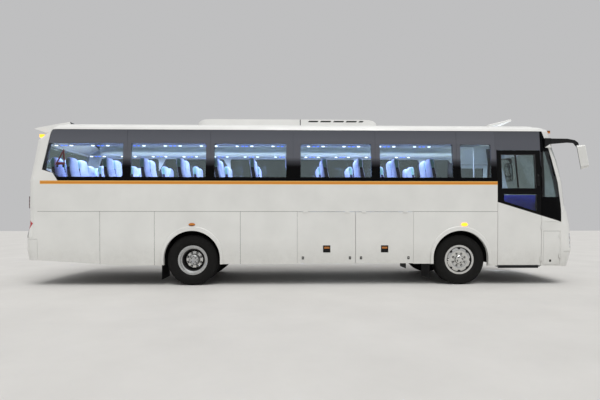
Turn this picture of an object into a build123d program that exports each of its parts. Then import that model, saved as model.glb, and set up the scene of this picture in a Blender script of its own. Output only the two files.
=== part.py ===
"""Right-hand-drive touring coach, built up from chassis, axles, wheels, body panels and cabin."""

import os
from math import atan2, cos, hypot, radians, sin, sqrt

from build123d import *

os.makedirs("parts", exist_ok=True)

# Overall sizes in millimetres
# Stations run forward from the rear bumper, heights run up from the ground
rear_overhang = 3580
wheelbase = 5780
front_overhang = 2660
body_half_width = 1300
mirror_lead = 30
body_length = rear_overhang + wheelbase + front_overhang
origin_station = (body_length + mirror_lead) / 2
rear_axle_station = rear_overhang
front_axle_station = rear_overhang + wheelbase

# Body shell
wall = 60
glass_thickness = 6
seat_gap = 0.3
panel_gap = 8
skirt_height = 460
front_skirt_height = 410
rear_skirt_height = 439
waist_height = 2240
cantrail_height = 3350
crown_height = 3545
crown_sag = 108
roof_end_height = 3478
rear_roof_slope = 1700
front_roof_slope = 2100
front_bow_radius = 7000
front_corner_radius = 380
rear_bow_radius = 15000
rear_corner_radius = 190

# Plan outlines of the body: height, narrowing of each side, set-back of the front, set-back of the rear
outline_rows = (
    (380, 22, 95, 70),
    (745, 6, 0, 0),
    (1064, 2, 20, 0),
    (1300, 0, 40, 56),
    (1585, 0, 101, 58),
    (1720, 0, 153, 52),
    (waist_height, 0, 211, 60),
    (2720, 41, 306, 137),
    (3120, 75, 432, 190),
    (cantrail_height, 95, 470, 470),
    (3400, 110, 482, 500),
    (3440, 140, 560, 560),
    (3472, 200, 760, 680),
    (3600, 215, 800, 720),
)


def at(station):
    """Gives the X of a station."""
    return station - origin_station


def side_prism(points, y_from, y_to, corner_radius=0):
    """Cuts out a side view given as station and height, between two Y values."""
    with BuildPart() as prism:
        with BuildSketch(Plane.XZ.offset(-y_from)) as view:
            with BuildLine():
                Polyline(*[(at(station), height) for station, height in points], close=True)
            make_face()
            if corner_radius:
                fillet(view.vertices(), corner_radius)
        extrude(amount=y_from - y_to)
    return prism.part


def side_box(station_from, station_to, height_from, height_to, y_from, y_to):
    """Makes a plain box from stations, heights and Y values."""
    corners = (
        (station_from, height_from),
        (station_to, height_from),
        (station_to, height_to),
        (station_from, height_to),
    )
    return side_prism(corners, y_from, y_to)


def bowed_corner(end, half, bow_radius, corner_radius):
    """Gives the bow's end and the corner's middle and end, as distance inward from the end and Y."""
    run = sqrt((bow_radius - corner_radius) ** 2 - (half - corner_radius) ** 2)
    centre = bow_radius - run
    lean = atan2(half - corner_radius, run)
    middle = (lean + radians(90)) / 2
    return (
        (centre - corner_radius * cos(lean), half - corner_radius + corner_radius * sin(lean)),
        (centre - corner_radius * cos(middle), half - corner_radius + corner_radius * sin(middle)),
        (centre, half),
    )


def body_envelope(inset):
    """Makes the body's whole outer form, moved inward by an inset."""
    reach = body_length + 2000
    with BuildPart() as hull:
        for height, narrowing, front_back, rear_back in outline_rows:
            half = body_half_width - narrowing - inset
            front = at(body_length - front_back - inset)
            rear = at(rear_back + inset)
            f_bow, f_mid, f_side = bowed_corner(0, half, front_bow_radius, front_corner_radius)
            r_bow, r_mid, r_side = bowed_corner(0, half, rear_bow_radius, rear_corner_radius)
            drop = inset if height >= cantrail_height or height == outline_rows[0][0] else 0
            with BuildSketch(Plane.XY.offset(height - drop)):
                with BuildLine():
                    ThreePointArc((front - f_bow[0], -f_bow[1]), (front, 0), (front - f_bow[0], f_bow[1]))
                    ThreePointArc(
                        (front - f_bow[0], f_bow[1]), (front - f_mid[0], f_mid[1]),
                        (front - f_side[0], f_side[1])
                    )
                    Line((front - f_side[0], half), (rear + r_side[0], half))
                    ThreePointArc(
                        (rear + r_side[0], r_side[1]), (rear + r_mid[0], r_mid[1]),
                        (rear + r_bow[0], r_bow[1])
                    )
                    ThreePointArc((rear + r_bow[0], r_bow[1]), (rear, 0), (rear + r_bow[0], -r_bow[1]))
                    ThreePointArc(
                        (rear + r_bow[0], -r_bow[1]), (rear + r_mid[0], -r_mid[1]),
                        (rear + r_side[0], -r_side[1])
                    )
                    Line((rear + r_side[0], -half), (front - f_side[0], -half))
                    ThreePointArc(
                        (front - f_side[0], -f_side[1]), (front - f_mid[0], -f_mid[1]),
                        (front - f_bow[0], -f_bow[1])
                    )
                make_face()
        loft(ruled=True)
        crown_edge = body_half_width + 100
        with BuildSketch(Plane.YZ.offset(-reach / 2)):
            with BuildLine():
                ThreePointArc(
                    (-crown_edge, crown_height - crown_sag - inset),
                    (0, crown_height - inset),
                    (crown_edge, crown_height - crown_sag - inset),
                )
                Polyline(
                    (crown_edge, crown_height - crown_sag - inset), (crown_edge, 0), (-crown_edge, 0),
                    (-crown_edge, crown_height - crown_sag - inset),
                )
            make_face()
        extrude(amount=reach, mode=Mode.INTERSECT)
        with BuildSketch(Plane.XZ):
            with BuildLine():
                Polyline(
                    (at(-500), 0),
                    (at(-500), roof_end_height - inset),
                    (at(650), roof_end_height - inset),
                    (at(rear_roof_slope), crown_height - inset),
                    (at(body_length - front_roof_slope), crown_height - inset),
                    (at(body_length - 760), roof_end_height - inset),
                    (at(body_length + 500), roof_end_height - inset),
                    (at(body_length + 500), 0),
                    close=True,
                )
            make_face()
        extrude(amount=2000, both=True, mode=Mode.INTERSECT)
    return hull.part


def save(piece, label):
    """Labels a finished piece and writes it to its own file."""
    piece.label = label
    export_step(piece, f"parts/{label}.step")


def save_group(pieces, label):
    """Writes like pieces on one body to one file."""
    with BuildPart() as group:
        for piece in pieces:
            add(piece)
    save(group.part, label)


outer = body_envelope(0)
under_glass = body_envelope(glass_thickness)
inner = body_envelope(wall)
cabin_space = body_envelope(wall + seat_gap)
above_skin = body_envelope(-seat_gap)

# Doors, flaps and windows
door_bottom = 427
door_top = 2922
door_rear_station = front_axle_station + 815
door_front_station = front_axle_station + 1765
front_arch_reach = 1024
rear_arch_reach = 2244
flap_rear_station = rear_axle_station + rear_arch_reach
flap_front_station = front_axle_station - front_arch_reach
flap_bottom = 470
flap_top = 1586
flap_width = (flap_front_station - flap_rear_station) / 2
arch_radius = 598
arch_centre_height = 576
arch_lip = 60
arch_lip_rise = 36
arch_lip_proud = 16
arch_lip_bevel = 12
rear_split = 330
boot_half_width = 980
boot_bottom = 1060
boot_top = 1990
windscreen_half_width = 1130
windscreen_bottom = 1760
windscreen_top = 3060
rear_window_half_width = 1060
rear_window_bottom = 2570
rear_window_top = 3080
glass_lap = 45
pane_edge_gap = 3

rear_pane_end = 2189
small_pane = 846
first_pane_start = 470
frame_front_station = door_rear_station - 43
frame_lap = 85
pane_gap = 9
pane_bottom = waist_height + 12
pane_top = cantrail_height - 12
clear_bottom = 2320
clear_top = 3050
clear_radius = 45
pane_pitch = (frame_front_station - small_pane - rear_pane_end) / 4
pane_joints = [rear_pane_end + n * pane_pitch for n in range(5)] + [frame_front_station]

# Edge of the white body ahead of the black quarter panel: set-back of the front, height
quarter_edge = ((451, 1366), (444, 1718), (511, 2203), (675, 2937), (830, cantrail_height))
quarter_line = [(body_length - back, height) for back, height in quarter_edge]
quarter_rear_station = door_front_station + panel_gap
quarter_border = 70
quarter_radius = 30
quarter_clear_bottom = 1905
quarter_clear_top = 2904

# Edge of the white body below and behind the rear side window: station, height
rear_edge = ((747, waist_height), (643, 2401), (412, 2473), (575, cantrail_height))
shoulder_height = 2498
rear_pane_margin = 18
rear_clear_edge = ((760, clear_bottom), (690, 2378), (468, 2478), (567, clear_top))


def skirt_at(station):
    """Gives the height of the rising rear skirt at a station."""
    run = 2050
    return rear_skirt_height + 136 * max(0, 1 - station / run)


with BuildPart() as shell:
    add(outer)
    add(inner, mode=Mode.SUBTRACT)
with BuildPart() as frame_shell:
    add(under_glass)
    add(inner, mode=Mode.SUBTRACT)
with BuildPart() as glass_skin:
    add(outer)
    add(under_glass, mode=Mode.SUBTRACT)

arches = {"rear": rear_axle_station, "front": front_axle_station}
arch_bottom = 330


def arch_prism(station, radius, y_from, y_to, rise=0):
    """Fills the side view of a wheel arch between two Y values."""
    centre_height = arch_centre_height + rise
    with BuildPart() as filled:
        with BuildSketch(Plane.XZ.offset(-y_from)):
            with Locations((at(station), centre_height)):
                Circle(radius)
            with Locations((at(station), (centre_height + arch_bottom) / 2)):
                Rectangle(2 * radius, centre_height - arch_bottom)
        extrude(amount=y_from - y_to)
    return filled.part


def arch_lip_block(station, sign):
    """Fills the bevelled lip round a wheel arch, before the arch is cut through it."""
    with BuildPart() as lip:
        add(
            arch_prism(
                station, arch_radius + arch_lip, sign * (body_half_width - wall + 1),
                sign * (body_half_width + arch_lip_proud), arch_lip_rise,
            )
        )
        chamfer(lip.faces().sort_by(Axis.Y)[0 if sign < 0 else -1].edges(), arch_lip_bevel)
    return lip.part


window_rows = []
for n, joint in enumerate(pane_joints):
    start = first_pane_start if n == 0 else pane_joints[n - 1]
    window_rows.append((start, joint))


def rounded_opening(station_from, station_to, height_from, height_to, radius, y_from, y_to):
    """Makes a window-shaped prism with rounded corners."""
    with BuildPart() as opening:
        with BuildSketch(Plane.XZ.offset(-y_from)):
            with Locations((at((station_from + station_to) / 2), (height_from + height_to) / 2)):
                RectangleRounded(station_to - station_from, height_to - height_from, radius)
        extrude(amount=y_from - y_to)
    return opening.part


# Hinges: the moving half carries the pin, the fixed half the sleeve
hinge_pin_radius = 4
hinge_play = 0.05
hinge_radius = 6.5
hinge_standoff = 8
hinge_leaf_reach = 28
hinge_leaf_depth = 30
hinge_leaf_gap = 1.5
sleeve_length = 40
hinge_length = 90
sleeve_gap = 1


def hinge_halves(point, towards_fixed, pin_direction):
    """Makes the fixed and the moving half of a hinge on an outer skin."""
    place = Plane(origin=point, x_dir=towards_fixed, z_dir=pin_direction)
    leaf_middle = (hinge_leaf_gap + hinge_leaf_reach) / 2
    with BuildPart(place) as fixed_half:
        with Locations((leaf_middle, -hinge_leaf_depth / 2, 0)):
            Box(hinge_leaf_reach - hinge_leaf_gap, hinge_leaf_depth, sleeve_length)
        Cylinder(hinge_radius, sleeve_length)
        Cylinder(hinge_pin_radius + hinge_play, sleeve_length, mode=Mode.SUBTRACT)
    with BuildPart(place) as moving_half:
        with Locations((-leaf_middle, -hinge_leaf_depth / 2, 0)):
            Box(hinge_leaf_reach - hinge_leaf_gap, hinge_leaf_depth, hinge_length)
        Cylinder(hinge_radius, hinge_length)
        Cylinder(hinge_radius + sleeve_gap, sleeve_length + 2 * sleeve_gap, mode=Mode.SUBTRACT)
        Cylinder(hinge_pin_radius, hinge_length)
    return fixed_half.part, moving_half.part


# Seams of the side skin and pockets of the flap handles
seam_width = 6
seam_stations = (1636, 2785, 4608)
seam_height = flap_top
handle_width = 160
handle_height = 155
handle_depth = 24
handle_centre_height = 782


def seams(near, far):
    """Gives the thin blocks that cut the seams into one side's skin."""
    cuts = [
        side_box(s - seam_width / 2, s + seam_width / 2, 420, seam_height, near, far)
        for s in seam_stations
    ]
    for start, end in ((rear_split, flap_rear_station), (flap_front_station, door_rear_station)):
        cuts.append(
            side_box(start, end, seam_height - seam_width / 2, seam_height + seam_width / 2, near, far)
        )
    return cuts


# Side panels, window frames and side panes, right then left
flap_hinge_offset = 450
flap_hinge_height = flap_top - 3
side_reach = body_half_width + 200
side_panels, window_frames, body_panes = [], [], []
for side, sign in (("right", -1), ("left", 1)):
    near, far = sign * 600, sign * side_reach
    lower_edge = (
        (rear_split, skirt_at(rear_split)),
        (2050, rear_skirt_height),
        (rear_axle_station, rear_skirt_height),
        (rear_axle_station, skirt_height),
        (front_axle_station, skirt_height),
        (front_axle_station, front_skirt_height),
        (door_rear_station - panel_gap, front_skirt_height),
        (door_rear_station - panel_gap, waist_height),
        *rear_edge[:3],
        (rear_split, shoulder_height),
    )
    flap_hole = side_box(
        flap_rear_station, flap_front_station, flap_bottom - 100, flap_top, near, far
    )
    flap_middles = [flap_rear_station + (n - 0.5) * flap_width for n in (1, 2)]
    flap_hinge_stations = [
        middle + step for middle in flap_middles for step in (-flap_hinge_offset, flap_hinge_offset)
    ]
    flap_hinges = {
        station: hinge_halves(
            (at(station), sign * (body_half_width + hinge_standoff), flap_hinge_height), (0, 0, 1),
            (-sign, 0, 0)
        )
        for station in flap_hinge_stations
    }
    with BuildPart() as side_panel:
        add(shell.part)
        add(side_prism(lower_edge, near, far), mode=Mode.INTERSECT)
        for station in arches.values():
            above_skirt = side_box(station - 900, station + 900, skirt_height, 1400, near, far)
            add(arch_lip_block(station, sign) & above_skirt)
            add(arch_prism(station, arch_radius, near, far), mode=Mode.SUBTRACT)
        add(flap_hole, mode=Mode.SUBTRACT)
        for cut in seams(near, far):
            add(glass_skin.part & cut, mode=Mode.SUBTRACT)
        for station in flap_hinge_stations:
            add(flap_hinges[station][0])
    side_panels.append(side_panel.part)
    frame_outline = [
        rear_edge[0], (door_front_station + panel_gap, waist_height),
        (quarter_rear_station, quarter_line[0][1]), *quarter_line, *reversed(rear_edge[1:]),
    ]
    door_way = side_box(
        door_rear_station - panel_gap, door_front_station + panel_gap, 300, door_top + panel_gap, near, far
    )
    with BuildPart() as window_frame:
        add(frame_shell.part)
        add(side_prism(frame_outline, near, far), mode=Mode.INTERSECT)
        add(door_way, mode=Mode.SUBTRACT)
        for start, end in window_rows[1:]:
            add(
                rounded_opening(
                    start + frame_lap, end - frame_lap, clear_bottom, clear_top, clear_radius, near, far
                ),
                mode=Mode.SUBTRACT,
            )
        rear_hole = (
            *rear_clear_edge, (rear_pane_end - frame_lap, clear_top),
            (rear_pane_end - frame_lap, clear_bottom),
        )
        add(side_prism(rear_hole, near, far, clear_radius), mode=Mode.SUBTRACT)
        quarter_hole = [
            (quarter_line[1][0] - quarter_border, quarter_clear_bottom),
            (quarter_line[2][0] - quarter_border, quarter_line[2][1]),
            (quarter_line[3][0] - quarter_border, quarter_clear_top),
            (quarter_rear_station + quarter_border, quarter_clear_top),
            (quarter_rear_station + quarter_border, quarter_clear_bottom),
        ]
        add(side_prism(quarter_hole, near, far, quarter_radius), mode=Mode.SUBTRACT)
    window_frames.append(window_frame.part)
    for n, (start, end) in enumerate(window_rows):
        pane_outline = [
            (start + pane_gap / 2, pane_bottom), (end - pane_gap / 2, pane_bottom),
            (end - pane_gap / 2, pane_top), (start + pane_gap / 2, pane_top),
        ]
        if n == 0:
            pane_outline[0] = (rear_edge[0][0] + rear_pane_margin, pane_bottom)
            pane_outline[3] = (rear_edge[3][0] + rear_pane_margin, pane_top)
            for station, height in reversed(rear_edge[1:3]):
                pane_outline.append((station + rear_pane_margin, height + pane_bottom - waist_height))
        with BuildPart() as pane:
            add(glass_skin.part)
            add(side_prism(pane_outline, near, far), mode=Mode.INTERSECT)
        body_panes.append(pane.part)
    quarter_pane = [
        (quarter_rear_station + 10, quarter_line[0][1] + 12),
        *[(station - 12, height) for station, height in quarter_line[1:4]],
        (quarter_line[4][0] - 12, pane_top), (quarter_rear_station + 10, pane_top),
    ]
    quarter_pane.insert(1, (quarter_line[0][0] - 12, quarter_line[0][1] + 12))
    with BuildPart() as pane:
        add(glass_skin.part)
        add(side_prism(quarter_pane, near, far), mode=Mode.INTERSECT)
    body_panes.append(pane.part)
    for n in (1, 2):
        flap_start = flap_rear_station + (n - 1) * flap_width
        with BuildPart() as flap:
            add(shell.part)
            add(
                side_box(
                    flap_start + panel_gap / 2, flap_start + flap_width - panel_gap / 2,
                    flap_bottom, flap_top - panel_gap, near, far,
                ),
                mode=Mode.INTERSECT,
            )
            handle_station = flap_start + flap_width / 2
            add(
                side_box(
                    handle_station - handle_width / 2, handle_station + handle_width / 2,
                    handle_centre_height - handle_height / 2, handle_centre_height + handle_height / 2,
                    sign * (body_half_width - handle_depth), far,
                ),
                mode=Mode.SUBTRACT,
            )
            for station in flap_hinge_stations[2 * n - 2:2 * n]:
                add(flap_hinges[station][1])
        save(flap.part, f"luggage_flap_{side}_{n}")

save_group(side_panels, "side_panels")
save_group(window_frames, "window_frames")
save_group(body_panes, "side_glass")

# Doors with their panes: the driver's on the right, the passengers' on the left
door_clear = (
    (door_rear_station + 90, 2093), (door_front_station - 116, 2093),
    (door_front_station - 116, 2825), (door_rear_station + 90, 2825),
)
door_low_clear = (
    (door_rear_station + 134, 1813), (door_front_station - 99, 1589),
    (door_front_station - 99, 1963), (door_rear_station + 134, 1963),
)
door_hinge_heights = (560, 1250)
front_hinges = []
for label, sign in (("driver_door", -1), ("passenger_door", 1)):
    near, far = sign * 600, sign * side_reach
    door_hinges = [
        hinge_halves(
            (at(door_front_station + 5), sign * (body_half_width + hinge_standoff), height),
            (1, 0, 0), (0, 0, sign),
        )
        for height in door_hinge_heights
    ]
    with BuildPart() as door:
        add(shell.part)
        add(
            side_box(door_rear_station, door_front_station, door_bottom, door_top, near, far),
            mode=Mode.INTERSECT,
        )
        add(side_prism(door_clear, near, far), mode=Mode.SUBTRACT)
        add(side_prism(door_low_clear, near, far), mode=Mode.SUBTRACT)
        for fixed_half, moving_half in door_hinges:
            add(moving_half)
            front_hinges.append(fixed_half)
    save(door.part, label)
    panes = []
    for corners in (door_clear, door_low_clear):
        with BuildPart() as pane:
            add(glass_skin.part)
            add(side_prism(corners, near, far), mode=Mode.INTERSECT)
        panes.append(pane.part)
    save_group(panes, f"{label}_glass")

# Roof panel with the hatch opening and its upstand
hatch_rear_station = 10410
hatch_length = 620
hatch_half_width = 340
hatch_lean = 14
hatch_seat_height = crown_height + 92
hatch_seat_gap = 8
hatch_hinge_offset = 190
hatch_hinges = [
    hinge_halves(
        (at(hatch_rear_station - hinge_standoff), y, hatch_seat_height - hatch_seat_gap / 2),
        (0, 0, -1), (0, 1, 0),
    )
    for y in (-hatch_hinge_offset, hatch_hinge_offset)
]
with BuildPart() as roof_panel:
    add(shell.part)
    add(
        side_box(-100, body_length + 100, cantrail_height, crown_height + 100, -1400, 1400),
        mode=Mode.INTERSECT,
    )
    add(
        side_box(
            hatch_rear_station + 10, hatch_rear_station + hatch_length - 10, crown_height - 110,
            hatch_seat_height - hatch_seat_gap, -hatch_half_width + 10, hatch_half_width - 10,
        )
    )
    add(
        side_box(
            hatch_rear_station + 40, hatch_rear_station + hatch_length - 40, crown_height - 300,
            hatch_seat_height + 100, -hatch_half_width + 40, hatch_half_width - 40,
        ),
        mode=Mode.SUBTRACT,
    )
    for fixed_half, moving_half in hatch_hinges:
        add(fixed_half)
save(roof_panel.part, "roof_panel")

# Roof hatch, a shallow tray that stands open on its rear hinge
with BuildPart() as hatch_flat:
    with BuildSketch(Plane.XY.offset(hatch_seat_height)):
        with Locations((at(hatch_rear_station + hatch_length / 2), 0)):
            RectangleRounded(hatch_length, 2 * hatch_half_width, 60)
    extrude(amount=42)
    fillet(hatch_flat.faces().sort_by(Axis.Z)[-1].edges(), 18)
    with BuildSketch(Plane.XY.offset(hatch_seat_height)):
        with Locations((at(hatch_rear_station + hatch_length / 2), 0)):
            RectangleRounded(hatch_length - 24, 2 * hatch_half_width - 24, 50)
    extrude(amount=22, mode=Mode.SUBTRACT)
    for fixed_half, moving_half in hatch_hinges:
        add(moving_half)
hatch_axis = Axis(
    (at(hatch_rear_station - hinge_standoff), 0, hatch_seat_height - hatch_seat_gap / 2), (0, 1, 0)
)
with BuildPart() as roof_hatch:
    add(hatch_flat.part.rotate(hatch_axis, -hatch_lean))
save(roof_hatch.part, "roof_hatch")

# Air unit on the roof, with curved ends
unit_rear_station = 3578
unit_front_station = 7661
unit_half_width = 850
unit_height = 3665
# Nose of the air unit: distance in from its end, drop below its top
unit_nose_rows = ((330, 0), (215, 7), (120, 24), (50, 50), (0, 90))
with BuildPart() as roof_unit:
    with BuildSketch(Plane.XZ):
        with BuildLine():
            base = crown_height - 120
            front_edge = [
                (at(unit_front_station - back), unit_height - drop) for back, drop in unit_nose_rows
            ]
            rear_edge_points = [
                (at(unit_rear_station + back), unit_height - drop) for back, drop in unit_nose_rows
            ]
            Polyline(
                *front_edge, (at(unit_front_station), base), (at(unit_rear_station), base),
                *reversed(rear_edge_points), close=True,
            )
        make_face()
    extrude(amount=unit_half_width, both=True)
    with BuildSketch(Plane.XY.offset(base)):
        with Locations((at((unit_rear_station + unit_front_station) / 2), 0)):
            RectangleRounded(unit_front_station - unit_rear_station, 2 * unit_half_width, 200)
    extrude(amount=unit_height, mode=Mode.INTERSECT)
    with BuildSketch(Plane.YZ.offset(at(unit_rear_station - 100))):
        with BuildLine():
            crown_reach = body_half_width + 100
            crown_side = crown_height - crown_sag + seat_gap
            ThreePointArc((-crown_reach, crown_side), (0, crown_height + seat_gap), (crown_reach, crown_side))
            Polyline(
                (crown_reach, crown_side), (crown_reach, base - 100), (-crown_reach, base - 100),
                (-crown_reach, crown_side),
            )
        make_face()
    extrude(amount=unit_front_station - unit_rear_station + 200, mode=Mode.SUBTRACT)
save(roof_unit.part, "roof_unit")

# Visor over the rear window, with the low fairing on it
visor_tip = (134, 3381)
with BuildPart() as rear_visor:
    add(
        side_prism(
            ((600, 3380), (400, 3290), visor_tip, (170, 3400), (500, 3462), (900, 3530), (900, 3480)),
            -1080, 1080
        )
    )
    add(above_skin, mode=Mode.SUBTRACT)
save(rear_visor.part, "rear_visor")

# Lamps let into the front and rear panels: stations, heights and distances from the middle
lamp_gap = 2
head_lamp = (body_length - 480, body_length + 100, 800, 1110, 690, 1215)
rear_lamp = (-100, 240, 1030, 1620, 1030, 1400)


def lamp_region(rows, sign, grow):
    """Gives the block that a lamp takes from a panel, grown by its gap."""
    start, end, low, high, near, far = rows
    return side_box(
        start - grow, end + grow, low - grow, high + grow, sign * (near - grow), sign * (far + grow)
    )


# Front panel: mask, pillars and cap round the windscreen
bumper_joint_height = 720
front_bumper_back = 400
mask_bottom = 405
front_region = (
    (door_front_station + panel_gap, mask_bottom), (body_length + 100, mask_bottom),
    (body_length + 100, cantrail_height),
    *[(station, height) for station, height in reversed(quarter_line)],
    (door_front_station + panel_gap, quarter_line[0][1]),
)
service_rear_station = door_front_station + 52
service_front_station = door_front_station + 416
service_bottom = 439
service_top = 1161
service_gap = 5
service_hinge_heights = (620, 1060)
service_hole = side_box(
    service_rear_station - service_gap, service_front_station + service_gap,
    service_bottom - service_gap, service_top + service_gap, -900, -side_reach,
)
service_hinges = [
    hinge_halves(
        (at(service_front_station + service_gap / 2), -body_half_width - hinge_standoff, height),
        (1, 0, 0), (0, 0, -1),
    )
    for height in service_hinge_heights
]
windscreen_hole = side_box(
    body_length - 700, body_length + 100, windscreen_bottom, windscreen_top,
    -windscreen_half_width, windscreen_half_width,
)
front_bumper_region = side_box(
    body_length - front_bumper_back, body_length + 100, 300, bumper_joint_height, -1400, 1400
)
windscreen_region = side_box(
    body_length - 700, body_length + 100, windscreen_bottom - glass_lap, windscreen_top + glass_lap,
    -windscreen_half_width - glass_lap, windscreen_half_width + glass_lap,
)
intake_depth = 25
intake_half_width = 580
intake_slot = 26
intake_pitch = 46
intake_bottom = 838
intake_rows = 6
low_intake_bottom = 440
low_intake_half_width = 700
intake_floor = outer.translate((-intake_depth, 0, 0))


def intake_slots(low, rows, half_width):
    """Cuts level slots into the bowed front, one pitch apart."""
    with BuildPart() as slots:
        for row in range(rows):
            bottom = low + row * intake_pitch
            add(
                side_box(body_length - 300, body_length + 100, bottom, bottom + intake_slot, -half_width, half_width)
            )
        add(intake_floor, mode=Mode.SUBTRACT)
    return slots.part


with BuildPart() as front_panel:
    add(shell.part)
    add(side_prism(front_region, -side_reach, side_reach), mode=Mode.INTERSECT)
    add(service_hole, mode=Mode.SUBTRACT)
    add(windscreen_hole, mode=Mode.SUBTRACT)
    add(front_bumper_region, mode=Mode.SUBTRACT)
    add(glass_skin.part & windscreen_region, mode=Mode.SUBTRACT)
    add(intake_slots(intake_bottom, intake_rows, intake_half_width), mode=Mode.SUBTRACT)
    for sign in (-1, 1):
        add(lamp_region(head_lamp, sign, lamp_gap), mode=Mode.SUBTRACT)
    for fixed_half in front_hinges:
        add(fixed_half)
    for fixed_half, moving_half in service_hinges:
        add(fixed_half)
save(front_panel.part, "front_panel")
with BuildPart() as windscreen:
    add(glass_skin.part)
    add(
        side_box(
            body_length - 700, body_length + 100, windscreen_bottom - glass_lap + pane_edge_gap,
            windscreen_top + glass_lap - pane_edge_gap, -windscreen_half_width - glass_lap + pane_edge_gap,
            windscreen_half_width + glass_lap - pane_edge_gap,
        ),
        mode=Mode.INTERSECT,
    )
with BuildPart() as service_flap:
    add(shell.part)
    add(
        side_box(
            service_rear_station, service_front_station, service_bottom, service_top, -900, -side_reach
        ),
        mode=Mode.INTERSECT,
    )
    for fixed_half, moving_half in service_hinges:
        add(moving_half)
save(service_flap.part, "service_flap")
with BuildPart() as front_bumper:
    add(shell.part)
    add(
        side_box(
            body_length - front_bumper_back, body_length + 100, 395, bumper_joint_height - 4, -1400, 1400
        ),
        mode=Mode.INTERSECT,
    )
    add(intake_slots(low_intake_bottom, 2, low_intake_half_width), mode=Mode.SUBTRACT)

# Rear panel round the boot door and the rear window
rear_bumper_top = 1000
rear_region = (
    (-100, rear_bumper_top), (rear_split, rear_bumper_top), (rear_split, shoulder_height),
    rear_edge[2], rear_edge[3], (-100, cantrail_height),
)


def rear_glass_box(edge):
    """Gives the block that holds the rear pane, with its edges moved in."""
    return side_box(
        -100, 700, rear_window_bottom - glass_lap + edge, rear_window_top + glass_lap - edge,
        -rear_window_half_width - glass_lap + edge, rear_window_half_width + glass_lap - edge,
    )


boot_hinge_station = 50
boot_hinge_offset = 300
boot_hinges = [
    hinge_halves((at(boot_hinge_station), y, boot_top + panel_gap / 2 + 1), (0, 0, 1), (0, -1, 0))
    for y in (-boot_hinge_offset, boot_hinge_offset)
]
with BuildPart() as rear_panel:
    add(shell.part)
    add(side_prism(rear_region, -side_reach, side_reach), mode=Mode.INTERSECT)
    add(
        side_box(
            -100, 600, boot_bottom - panel_gap, boot_top + panel_gap,
            -boot_half_width - panel_gap, boot_half_width + panel_gap,
        ),
        mode=Mode.SUBTRACT,
    )
    add(
        side_box(
            -100, 700, rear_window_bottom, rear_window_top, -rear_window_half_width, rear_window_half_width
        ),
        mode=Mode.SUBTRACT,
    )
    add(glass_skin.part & rear_glass_box(0), mode=Mode.SUBTRACT)
    for sign in (-1, 1):
        add(lamp_region(rear_lamp, sign, lamp_gap), mode=Mode.SUBTRACT)
    for fixed_half, moving_half in boot_hinges:
        add(fixed_half)
save(rear_panel.part, "rear_panel")
with BuildPart() as rear_window:
    add(glass_skin.part)
    add(rear_glass_box(pane_edge_gap), mode=Mode.INTERSECT)
save_group([windscreen.part, rear_window.part], "end_glass")
with BuildPart() as boot_door:
    add(shell.part)
    add(
        side_box(-100, 600, boot_bottom, boot_top, -boot_half_width, boot_half_width),
        mode=Mode.INTERSECT,
    )
    for fixed_half, moving_half in boot_hinges:
        add(moving_half)
save(boot_door.part, "boot_door")
with BuildPart() as rear_bumper:
    add(shell.part)
    add(
        side_prism(
            (
                (-100, 560), (rear_split - 4, skirt_at(rear_split)),
                (rear_split - 4, rear_bumper_top - 4), (-100, rear_bumper_top - 4),
            ),
            -side_reach, side_reach,
        ),
        mode=Mode.INTERSECT,
    )
save_group([front_bumper.part, rear_bumper.part], "bumpers")

# Chassis frame: two channel rails, crossmembers, spring hangers and towing plates
rail_inner = 400
rail_width = 70
rail_outer = rail_inner + rail_width
rail_web = 8
rail_bottom = 740
rail_height = 250
rail_top = rail_bottom + rail_height
rail_rear_station = 260
rail_front_station = body_length - 360
deck_bottom = 1490
deck_thickness = 60
cab_floor_bottom = 1050
cab_floor_thickness = 50
bearer_depth = 60
bearer_width = 60
bearer_half_length = 1180
outrigger_depth = 100
outrigger_reach = 700
bearer_stations = (560, 1700, 2880, 4300, flap_rear_station - 60, flap_front_station + 60, 9900)
crossmember_stations = (320, 1700, 2880, 4300, 5764, 7040, 8396, 9900)
spring_reach = 700
hanger_length = 60
hanger_height = 110
tow_plate_length = 170
tow_plate_half_width = 150
tow_plate_thickness = 30
tow_hole_radius = 21
engine_length = 1100
engine_half_width = 380
engine_height = 700
engine_rear_station = front_axle_station + 790
bulkhead_station = front_axle_station + 730
bulkhead_thickness = 30

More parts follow.
